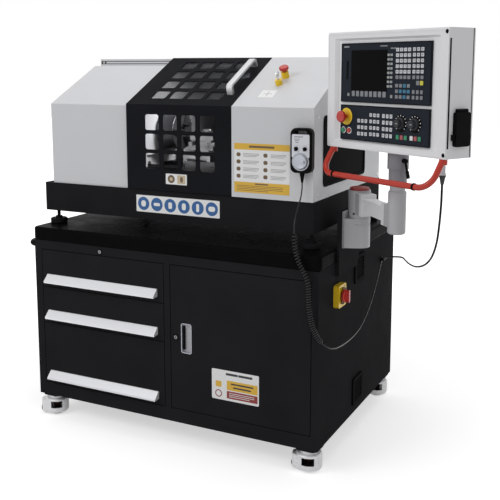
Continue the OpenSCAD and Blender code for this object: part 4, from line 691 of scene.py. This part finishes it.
PANEL_X = -13
PANEL_W = 420
PANEL_Y = -64
LEFT = PANEL_X - PANEL_W / 2
UPPER_Z1, UPPER_H = 1588, 200
LOWER_Z1, LOWER_H = 1378, 120
SHELF = 1.2  # height of the keys moulded in the panel
MARK_Z = (2.22, 2.37)  # printed marks on the keys
KNOB_Z = LOWER_Z1 - 50
KNOBS = (("feed", "feed_knob", 294), ("spindle", "spindle_knob", 357))


def panel_at(dx, z):
    """A place on the panels: dx to the right of their left edge, at height z."""
    return on_console(LEFT + dx, PANEL_Y, z)


def keys_of(blocks):
    """Each key's place, size and shape of mark.

    A block holds its left edge, top, columns, rows, pitch across and down, and its keys' width and height.
    """
    for dx, z, cols, rows, px, pz, w, h in blocks:
        for i in range(cols):
            for j in range(rows):
                yield panel_at(dx + i * px + w / 2, z - j * pz - h / 2), w, h, (i * 5 + j * 3 + cols) % 4


def key_caps(name, blocks, finish_name, inset=0.9, top=2.3):
    """One piece with the caps of the keys in some blocks."""
    bm = bmesh.new()
    for place, w, h, _ in keys_of(blocks):
        slab(bm, place, w - inset, h - inset, 1.4, SHELF, top, corner=3, scale=0.94)
    piece(name, bm, finish_name, "console")


# Pitch and size of keys that stand in more than one block
CURSOR_KEY = (17.5, 18, 14, 12.5)
PAIR_KEY = (16.5, 18, 14.5, 15)
COLOUR_KEY = (18, 18, 14, 15.5)
KEY_BLOCKS = {
    "letters": (266.5, UPPER_Z1 - 19, 4, 5, 17.5, 17.5, 14.5, 12.5),
    "numbers": (341, UPPER_Z1 - 18.5, 3, 5, 17.5, 17.5, 13.5, 12.5),
    "letters_low": (266.5, UPPER_Z1 - 106.5, 4, 1, 17.5, 17.5, 14.5, 12.5),
    "numbers_low": (341, UPPER_Z1 - 106, 3, 1, 17.5, 17.5, 13.5, 12.5),
    "cursor": (266, UPPER_Z1 - 133.5, 4, 3, *CURSOR_KEY),
    "edit": (341.5, UPPER_Z1 - 152, 3, 2, 17.5, 17.5, 12, 13),
    "soft_side": (227.5, UPPER_Z1 - 36.5, 2, 8, 13.5, 14.5, 12.5, 9.5),
    "soft_low": (57.5, UPPER_Z1 - 160.5, 8, 1, 21.5, 18, 16, 19.5),
    "machine_a": (88.5, LOWER_Z1 - 45, 3, 3, 18, 22, 13.5, 13.5),
    "machine_b": (148.5, LOWER_Z1 - 23.5, 3, 4, 17.5, 21.5, 13, 13),
    "machine_c": (209.5, LOWER_Z1 - 23.5, 3, 4, 17.5, 21.5, 13, 14),
}
pale = [KEY_BLOCKS[k] for k in ("letters", "numbers")]
grey = [KEY_BLOCKS[k] for k in ("letters_low", "numbers_low", "edit", "soft_low")]
machine = [KEY_BLOCKS[k] for k in ("machine_a", "machine_b", "machine_c")]
key_caps("keys_pale", pale, "key_pale")
key_caps("keys_grey", grey + [(358, UPPER_Z1 - 122.5, 1, 1, *PAIR_KEY)], "key_grey")
key_caps("keys_soft", [KEY_BLOCKS["soft_side"]], "key_soft", inset=1.6)
key_caps("keys_cursor_grey", [KEY_BLOCKS["cursor"]], "key_grey")
key_caps("keys_cursor_blue", [(301, UPPER_Z1 - 133.5, 1, 1, *CURSOR_KEY),
                              (283.5, UPPER_Z1 - 151.5, 3, 1, *CURSOR_KEY),
                              (301, UPPER_Z1 - 169.5, 1, 1, *CURSOR_KEY)], "key_blue", top=2.5)
key_caps("key_yellow", [(374.5, UPPER_Z1 - 122.5, 1, 1, *PAIR_KEY)], "key_lime", top=2.5)
key_caps("keys_machine", machine, "key_pale")
COLOUR_ROW = {
    "keys_green": ("green", ((275, 88), (311, 88), (372, 87.5))),
    "keys_red": ("key_red", ((293, 88), (354.5, 87.5))),
    "key_white": ("white", ((337, 87.5),)),
}
for name, (finish_name, row) in COLOUR_ROW.items():
    key_caps(name, [(dx, LOWER_Z1 - drop, 1, 1, *COLOUR_KEY) for dx, drop in row], finish_name, top=2.4)

# Small printed marks on the keys
bm = bmesh.new()
for place, _, _, kind in keys_of(pale + machine):
    slab(bm, place, 5.4 - kind * 0.6, 1.6, 0.3, *MARK_Z, y=1.0 + 0.5 * (kind == 1), corner=2)
    if kind != 2:
        slab(bm, place, 1.4, 4.6, 0.3, *MARK_Z, x=-1.0 + 0.9 * kind, y=-0.4, corner=2)
piece("key_marks", bm, "ink", "console")

# Panel bezels, a socket cover, the screen and its glass
bm = bmesh.new()
for z1, h in ((UPPER_Z1, UPPER_H), (LOWER_Z1, LOWER_H)):
    for z in (z1 - 1.5, z1 - h + 1.5):
        slab(bm, panel_at(PANEL_W / 2, z), PANEL_W, 3, 1, 0, 0.8)
    for dx in (1.5, PANEL_W - 1.5):
        slab(bm, panel_at(dx, z1 - h / 2), 3, h - 6, 1, 0, 0.8)
piece("panel_rims", bm, "black", "console")
bm = bmesh.new()
slab(bm, panel_at(139, UPPER_Z1 - 93), 176, 138, 4, -0.4, 1.0)
slab(bm, panel_at(33, UPPER_Z1 - 91), 8.4, 62.4, 1, -1.6, 0.2)
piece("screen_bezel", bm, "black", "console", bevel=0.4)
bm = bmesh.new()
slab(bm, panel_at(140, UPPER_Z1 - 94), 168, 131, 1.5, 0.9, 1.3)
piece("screen_glass", bm, "gloss_black", "console")
bm = bmesh.new()
slab(bm, panel_at(26, UPPER_Z1 - 12), 26, 5, 0.8, 0, 0.3)
slab(bm, panel_at(209, UPPER_Z1 - 12), 34, 3, 0.8, 0, 0.3)
for i in range(4):
    slab(bm, panel_at(243 + 6.5 * i, UPPER_Z1 - 20), 4.4, 4.4, 0.4, 0, 0.3)
for dx, z in ((40, 174), (249.5, 175.5)):
    slab(bm, panel_at(dx, UPPER_Z1 - z), 9.5, 10.5, 1.5, 0, 2.2)
piece("panel_prints", bm, "grey_print", "console")

# Emergency stop plate and ring scales round the two override knobs
bm = bmesh.new()
turned(bm, panel_at(33, LOWER_Z1 - 40),
       [(0, 1.9), (28.6, 1.9), (29.4, 2.4), (29.4, 2.9), (28.4, 3.5), (13, 3.8), (12.4, 3.4), (0, 3.4)], 56)
piece("stop_plate", bm, "yellow", "console")
bm = bmesh.new()
for _, _, dx in KNOBS:
    turned(bm, panel_at(dx, KNOB_Z), [(0, 0), (29, 0), (29, 0.5), (28.4, 0.8), (0, 0.8)], 56)
piece("knob_plates", bm, "gloss_black", "console")
bm = bmesh.new()
for _, _, dx in KNOBS:
    for i in range(11):
        tick = panel_at(dx, KNOB_Z) @ Matrix.Rotation(math.radians(225 - 270 * i / 10), 4, "Z")
        slab(bm, tick, 3.8, 2.8, 0.6, 0.7, 1.0, x=24.8, corner=2)
piece("knob_scales", bm, "white", "console")
for knob, body, dx in KNOBS:
    bm = bmesh.new()
    place = panel_at(dx, KNOB_Z)
    slab(bm, place, 26, 6.5, 3, 20.5, 27, corner=5, scale=0.9)
    turned(bm, place, [(12, 1.0), (18.6, 1.0), (19.2, 1.6), (18.4, 9.4), (17.8, 10), (12, 10)], 48)
    for i in range(24):
        ridge = place @ Matrix.Rotation(2 * math.pi * i / 24, 4, "Z")
        slab(bm, ridge, 1.6, 1.5, 0.5, 10, 19.5, x=13.6, corner=2)
    piece(knob + "_knob_grip", bm, "knob", body, bevel=0.4)
    bm = bmesh.new()
    slab(bm, place, 9, 1.3, 0.5, 26.8, 27.4, x=8)
    piece(knob + "_knob_line", bm, "white", body)
for button, dx in (("start_button", 16), ("stop_button", 46)):
    bm = bmesh.new()
    turned(bm, panel_at(dx, LOWER_Z1 - 88), [(8.6, 0), (12, 0), (12, 1.4), (11, 2.2), (9.2, 2.2), (8.6, 1.4)])
    piece(button + "_ring", bm, "chrome", "console")

# ------------------------------------------------------------ console housing trim

# Dark strip, rear seam and corner caps; the strip's slot is filled beside it
bm = bmesh.new()
for x, strip, seam in ((CONSOLE_RIGHT, -1.1, -1.7), (CONSOLE_LEFT, -0.4, -0.3)):
    slab(bm, on_console_side(-64, CONSOLE_MID_Z, x), 6, 334, 1.5, strip, strip + 1.5)
    slab(bm, on_console_side(37, CONSOLE_MID_Z, x), 3.4, 396, 0.8, seam, seam + 2)
for z in (1240, 1614):
    turned(bm, on_console(262, CONSOLE_FRONT_Y, z), [(0, 0), (7, 0), (7, 0.9), (5.6, 1.8), (0, 2.0)], 28)
piece("console_strips", bm, "rubber", "console")
bm = bmesh.new()
for x, deep in ((CONSOLE_RIGHT, -2.6), (CONSOLE_LEFT, 0.1)):
    slab(bm, on_console_side(-57, CONSOLE_MID_Z, x), 5.8, 329, 0.5, deep, deep + 2.5)
piece("console_slot_fill", bm, "frame", "console")

# Raised edges of the aluminium frame round the recess
bm = bmesh.new()
for z in (1620, 1234):
    slab(bm, on_console(CONSOLE_MID_X, CONSOLE_FRONT_Y, z), 556, 5, 2, -0.2, 1.4)
for x in (CONSOLE_LEFT + 4, CONSOLE_RIGHT - 4):
    slab(bm, on_console(x, CONSOLE_FRONT_Y, CONSOLE_MID_Z), 5, 380, 2, -0.2, 1.4)
piece("console_frame_edges", bm, "frame", "console", bevel=0.5)

# Rubber rings on the handlebar, which leans forward below the console
BAR_LEAN = math.radians(32)
BAR_REACH = 106.1
bm = bmesh.new()
for x in (-200, 184):
    centre = on_console(x, -56 - BAR_REACH * math.sin(BAR_LEAN), CONSOLE_Z - 90)
    ring = centre @ Matrix.Rotation(math.radians(90), 4, "Y")
    turned(bm, ring, [(10.1, -4), (11.6, -4), (12, -3), (12, 3), (11.6, 4), (10.1, 4)], 28)
piece("handlebar_rings", bm, "black", "console")

# ------------------------------------------------------------ swing arm trim

HEAD_TOP_Z = 1059
HEAD_SCREW_Z = 965
bm = bmesh.new()
cap = Matrix.Translation(Vector((SWIVEL.x, SWIVEL.y, HEAD_TOP_Z * MM)))
turned(bm, cap, [(0, 2.4), (30, 2.2), (35.4, 0.6), (36, -3), (36.8, -7), (37.3, -7), (37.3, -2), (35.8, 1.4),
                 (30, 3.2), (0, 3.6)], 56)
piece("swivel_cap", bm, "red_print", "arm")
bm = bmesh.new()
for a in (-100, -150):
    d = Vector((math.cos(math.radians(a)), math.sin(math.radians(a)), 0))
    place = facing(Vector((SWIVEL.x, SWIVEL.y, HEAD_SCREW_Z * MM)) + d * (42 * MM), UP.cross(d), UP)
    turned(bm, place, [(0, 1.2), (3.2, 1.2), (4.4, 0.8), (4.4, -2), (0, -2)], 20)
piece("swivel_screws", bm, "screw", "arm")

# ------------------------------------------------------------ cabinet trim

# The recessed pull of the door: floor, rim and grip
bm = bmesh.new()
slab(bm, on_front(PULL_X, 12, PULL_Z), 42.4, 116.4, 5.6, -0.2, 0.8)
piece("door_pull_floor", bm, "arm", "door")
bm = bmesh.new()
rim_place = on_front(PULL_X, 0, PULL_Z)
outer, inner = outline(47, 121, 8, 5), outline(41.5, 115.5, 5.2, 5)
levels = [(outer, 0), (outer, 1.2), (inner, 1.2), (inner, -11)]
rows = [[bm.verts.new(rim_place @ (Vector((x, y, z)) * MM)) for x, y in pts] for pts, z in levels]
for a, b in zip(rows, rows[1:]):
    for i in range(len(a)):
        k = (i + 1) % len(a)
        bm.faces.new((a[i], a[k], b[k], b[i]))
piece("door_pull_rim", bm, "dial", "door")
bm = bmesh.new()
slab(bm, rim_place, 8, 96, 3, -11.2, -2, x=-14)
piece("door_pull_grip", bm, "gloss_black", "door", bevel=0.8)

# Dark collars and slots of the two locks, whose cams reach down and to the right
LOCK_R = 11
for lock in ("door_lock", "drawer_lock"):
    low, high = (Vector(v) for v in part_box(lock))
    place = facing(Vector((low.x + LOCK_R * MM, low.y, high.z - LOCK_R * MM)), RIGHT, UP)
    bm = bmesh.new()
    turned(bm, place, [(7.6, -0.1), (7.6, 0.5), (11.3, 0.5), (11.4, -2.9), (11.1, -2.9), (11.1, -0.1),
                       (7.6, -0.1)])
    slab(bm, place, 2.2, 8.4, 0.6, -0.6, 0.25)
    piece(lock + "_collar", bm, "black", lock)

# Plates on the door, the guard, the covers and the tray: plain fields with no lettering
FIELD, PRINT = (0.9, 1.0), (1.0, 1.1)  # layers over the door's plate
plate = on_front(311, 0, 292)
bm = bmesh.new()
slab(bm, plate, 203, 121, 5, 0.05, 0.9)
piece("door_plate", bm, "white", "door")
bm = bmesh.new()
slab(bm, plate, 132, 38, 2, *FIELD, x=30, y=2)
piece("door_plate_field", bm, "amber", "door")
bm = bmesh.new()
slab(bm, plate, 132, 30, 2, *FIELD, x=30, y=-36)
turned(bm, plate @ Matrix.Translation((-72 * MM, -36 * MM, 0)),
       [(11, 0.9), (15, 0.9), (15, 1.0), (11, 1.0), (11, 0.9)], 32)
piece("door_plate_base", bm, "red_print", "door")
bm = bmesh.new()
for w, x in ((52, -14), (60, 44)):
    slab(bm, plate, w, 9, 2, *FIELD, x=x, y=46)
for w, y in ((96, 9), (76, -5)):
    slab(bm, plate, w, 6, 1.5, *PRINT, x=30, y=y)
piece("door_plate_rules", bm, "ink", "door")
bm = bmesh.new()
slab(bm, plate, 26, 24, 3, *FIELD, x=-72, y=2)
piece("door_plate_block", bm, "amber", "door")
bm = bmesh.new()
for k in range(3):
    slab(bm, plate, 108 - 20 * (k == 2), 2.2, 0.6, *PRINT, x=28 - 10 * (k == 2), y=-29 - 7 * k)
piece("door_plate_lines", bm, "white", "door")

plate = on_front(19, FRONT_Y, 1071)
bm = bmesh.new()
slab(bm, plate, 96, 42, 3, 0.05, 0.8)
piece("guard_plate", bm, "white", "guard")
bm = bmesh.new()
turned(bm, plate @ Matrix.Translation((-23 * MM, 0, 0)), [(0, 0.8), (16, 0.8), (16, 0.95), (0, 0.95)], 36)
slab(bm, plate, 12, 20, 4, 0.9, 1.05, x=24)
piece("guard_plate_disc", bm, "brown_print", "guard")
bm = bmesh.new()
slab(bm, plate, 36, 34, 3, 0.8, 0.95, x=23)
slab(bm, plate, 14, 14, 5, 0.9, 1.05, x=-23)
piece("guard_plate_block", bm, "tan_print", "guard")

COVER_FIELD, COVER_PRINT = (0.6, 0.75), (0.75, 0.85)
plate = on_front(390, FRONT_Y, 1133)
bm = bmesh.new()
slab(bm, plate, 228, 186, 3, 0.05, 0.6)
piece("cover_plate", bm, "white", "machine")
bm = bmesh.new()
slab(bm, plate, 228, 24, 2, *COVER_FIELD, y=81)
slab(bm, plate, 228, 40, 2, *COVER_FIELD, y=-73)
piece("cover_plate_fields", bm, "amber", "machine")
bm = bmesh.new()
for j in range(4):
    for i, w in ((0, 66), (1, 62)):
        for k in range(3):
            slab(bm, plate, w - 9 * (k == 2), 2.0, 0.3, 0.6, 0.7, x=-44 + 112 * i - 4.5 * (k == 2),
                 y=54 - 27 * j - 5 * k, corner=2)
piece("cover_plate_rules", bm, "grey_print", "machine")
bm = bmesh.new()
for j in range(4):
    for i in range(2):
        slab(bm, plate, 17, 15, 6, *COVER_FIELD, x=-96 + 112 * i, y=50 - 27 * j)
slab(bm, plate, 104, 8, 2, *COVER_PRINT, y=81)
slab(bm, plate, 54, 5, 1.5, *COVER_PRINT, y=-59)
for k in range(4):
    slab(bm, plate, 190 - 60 * (k == 3), 1.8, 0.5, *COVER_PRINT, x=-8 - 30 * (k == 3), y=-67 - 6 * k)
piece("cover_plate_blocks", bm, "brown_print", "machine")

DISC_SHAPES = ((22, 26, 10), (30, 13, 6), (17, 26, 5), (18, 28, 8), (13, 32, 5), (30, 20, 9))
plate = on_front(16.5, 73, 963)
discs = [plate @ Matrix.Translation(((-157 + 62.8 * i) * MM, 0, 0)) for i in range(len(DISC_SHAPES))]
bm = bmesh.new()
slab(bm, plate, 383, 68, 3, 0.05, 0.7)
piece("tray_strip", bm, "white", "machine")
bm = bmesh.new()
for place in discs:
    turned(bm, place, [(0, 0.7), (27, 0.7), (27, 0.9), (0, 0.9)])
piece("tray_discs", bm, "blue", "machine")
bm = bmesh.new()
for place, (w, h, r) in zip(discs, DISC_SHAPES):
    slab(bm, place, w, h, r, 0.85, 1.0)
piece("tray_disc_rings", bm, "white", "machine")

# Plate with a cross on the right cover's slope
plate = on_slope(372, 100)
bm = bmesh.new()
slab(bm, plate, 62, 56, 2, 0.05, 0.7)
piece("slope_plate", bm, "white", "machine")
bm = bmesh.new()
slab(bm, plate, 36, 2.4, 0.6, 0.7, 0.85)
slab(bm, plate, 2.4, 36, 0.6, 0.7, 0.85)
piece("slope_plate_axes", bm, "grey_print", "machine")

# Screw heads on the right cover's side
bm = bmesh.new()
for y in (110, 820):
    for z in (1040, 1330):
        turned(bm, on_side(y, z, 597),
               [(0, 1.6), (2, 1.6), (2.2, 1.9), (4.2, 1.7), (5.4, 0.8), (5.6, -0.4), (0, -0.4)], 20)
piece("cover_screws", bm, "chrome", "machine")

# Dark grooves and end screws of the rail over the covers
bm = bmesh.new()
for z in (RAIL_Z + 9.5, RAIL_Z + 20.5):
    slab(bm, on_front(-169, RAIL_Y, z), 862, 2.8, 0.2, -3.9, -1.2)
piece("rail_grooves", bm, "rubber", "machine")
bm = bmesh.new()
for x in (-592, -574):
    turned(bm, on_front(x, RAIL_Y, RAIL_Z + 15), [(0, 2.2), (3, 2.2), (4.2, 1.4), (4.2, -0.3), (0, -0.3)], 20)
piece("rail_screws", bm, "screw", "machine")

# ------------------------------------------------------------ main switch

bm = bmesh.new()
plate = on_side(189, 652, 672)
turned(bm, plate, [(27, 3.6), (33, 3.6), (33, 4.6), (31, 5.4), (28, 5.4), (27, 4.4)], 48)
for i in range(2):
    slab(bm, plate, 9, 2.5, 0.8, 0, 0.6, x=-24 + 48 * i, y=34)
piece("switch_ring", bm, "black", "machine")

# ------------------------------------------------------------ pendant trim

face = on_front(PENDANT_X, PENDANT_Y, 1211)
bm = bmesh.new()
slab(bm, face, 68, 84, 5, 0.05, 0.9, y=17)
piece("pendant_plate", bm, "plate", "machine")
bm = bmesh.new()
slab(bm, face, 34, 2.2, 0.6, 0.9, 1.0, x=-8, y=50)
for i in range(3):
    slab(bm, face, 22 - 5 * i, 1.8, 0.5, 0.9, 1.0, x=-14, y=42 - 6 * i)
for x in (-17, 17):
    for i in range(5):
        turn = Matrix.Rotation(math.radians(150 - 30 * i), 4, "Z")
        slab(bm, face @ Matrix.Translation((x * MM, 7 * MM, 0)) @ turn, 2.6, 0.8, 0.2, 0.9, 1.0, x=11)
piece("pendant_prints", bm, "ink", "machine")
wheel = on_front(PENDANT_X, PENDANT_Y, 1172)
bm = bmesh.new()
turned(bm, wheel, [(27.8, 0.1), (33, 0.1), (33, 1.4), (31.6, 2.0), (28.6, 2.0), (27.8, 1.2)], 72)
piece("dial_scale_ring", bm, "dial", "machine")
bm = bmesh.new()
for i in range(100):
    tick = wheel @ Matrix.Rotation(2 * math.pi * i / 100, 4, "Z")
    slab(bm, tick, 2.6 if i % 10 else 3.8, 0.45, 0.1, 1.95, 2.1, x=30.6, corner=1)
piece("dial_ticks", bm, "ink", "machine")
bm = bmesh.new()
for i in range(60):
    rib = wheel @ Matrix.Rotation(2 * math.pi * i / 60, 4, "Z")
    slab(bm, rib, 0.8, 1.3, 0.3, 2.5, 8.2, x=26.0, corner=1)
turned(bm, wheel, [(0, 9.4), (24, 9.4), (24, 10.3), (23.4, 10.8), (21, 10.8), (20, 10.3), (0, 10.3)], 48)
piece("dial_grip", bm, "dial", "hand_wheel")

# ------------------------------------------------------------ casters: ribbed thumb wheels

for corner in ("front_left", "front_right", "back_left", "back_right"):
    pivot = Vector(joint(corner + "_caster_swivel")["pos_m"])
    bm = bmesh.new()
    place = Matrix.Translation(Vector((pivot.x, pivot.y, 0)))
    ribs = 40
    turned(bm, place, [(0, 36), (16, 36), (17.2, 37.2), (17.2, 61.6), (16, 62.8), (0, 62.8)], ribs)
    for i in range(ribs):
        rib = place @ Matrix.Rotation(2 * math.pi * i / ribs, 4, "Z")
        slab(bm, rib, 1.2, 1.5, 0.3, 38, 61, x=17.2, corner=1)
    piece("thumb_wheel_" + corner, bm, "thumb", corner + "_caster")

# ------------------------------------------------------------ floor, world and lamps


FLOOR_GLOW = 0.55  # under the object
WORLD_LIGHT = 0.42


def seen_directly(tree):
    """1 for the rays of the camera, of mirrors and of clear sheets, 0 for those that light the object."""
    path = tree.nodes.new("ShaderNodeLightPath")
    total = path.outputs["Is Camera Ray"]
    for kind in ("Is Glossy Ray", "Is Transmission Ray"):
        total = maths(tree, "MAXIMUM", total, path.outputs[kind])
    return total


def either(tree, lighting, seen):
    """One shader for the light that reaches the object, another for what is seen."""
    pick = tree.nodes.new("ShaderNodeMixShader")
    for socket, value in zip(pick.inputs, (seen_directly(tree), lighting, seen)):
        tree.links.new(value, socket)
    return pick.outputs[0]


def floor_matt(name, middle, near, far):
    """Matt floor that takes shadows; where it is seen it glows up to white away from the object."""
    mat, tree, out = blank_material(name)
    matt = tree.nodes.new("ShaderNodeBsdfDiffuse")
    matt.inputs[0].default_value = (*linear((236, 236, 236)), 1)
    away = off_axis(tree, place_of(tree), Vector(middle))
    glow = tree.nodes.new("ShaderNodeEmission")
    tree.links.new(ranged(tree, away, (near, far), (FLOOR_GLOW, 1.0), smooth=True), glow.inputs["Strength"])
    both = tree.nodes.new("ShaderNodeAddShader")
    tree.links.new(matt.outputs[0], both.inputs[0])
    tree.links.new(glow.outputs[0], both.inputs[1])
    tree.links.new(either(tree, matt.outputs[0], both.outputs[0]), out.inputs[0])
    return mat


mesh = bpy.data.meshes.new("floor")
mesh.from_pydata([(-14, -10, 0), (16, -10, 0), (16, 18, 0), (-14, 18, 0)], [], [(0, 1, 2, 3)])
floor = placed("floor", mesh)
mesh.materials.append(floor_matt("floor_matt", (0.6, 0.4, 0), 1.1, 2.4))

world = bpy.data.worlds.new("studio")
bpy.context.scene.world = world
world.use_nodes = True
tree = world.node_tree
tree.nodes.clear()
out = tree.nodes.new("ShaderNodeOutputWorld")
skies = []
for strength in (WORLD_LIGHT, 1.0):
    sky = tree.nodes.new("ShaderNodeBackground")
    sky.inputs[0].default_value = (1, 1, 1, 1)
    sky.inputs[1].default_value = strength
    skies.append(sky.outputs[0])
tree.links.new(either(tree, *skies), out.inputs[0])


def lamp(name, location, target, size, power, spread=math.pi):
    """A square lamp that looks at its target; sizes and places in metres, power in watts."""
    data = bpy.data.lights.new(name, "AREA")
    data.shape = "RECTANGLE"
    data.size, data.size_y = size
    data.energy = power
    data.spread = spread
    obj = placed(name, data)
    obj.location = location
    obj.rotation_euler = (Vector(target) - Vector(location)).to_track_quat("-Z", "Y").to_euler()


lamp("key", (-1.4, -3.2, 3.4), (0.6, 0.4, 0.9), (2.6, 1.8), 56)
lamp("top", (0.8, 0.6, 4.2), (0.6, 0.4, 1.0), (3.0, 2.4), 36)
lamp("fill", (4.4, -2.2, 2.2), (0.7, 0.4, 0.9), (2.0, 2.4), 8)
lamp("machine_light", (0.84, 0.30, 1.44), (0.42, 0.25, 1.24), (0.16, 0.10), 0.6, spread=1.3)

bpy.context.scene.view_settings.view_transform = "Standard"
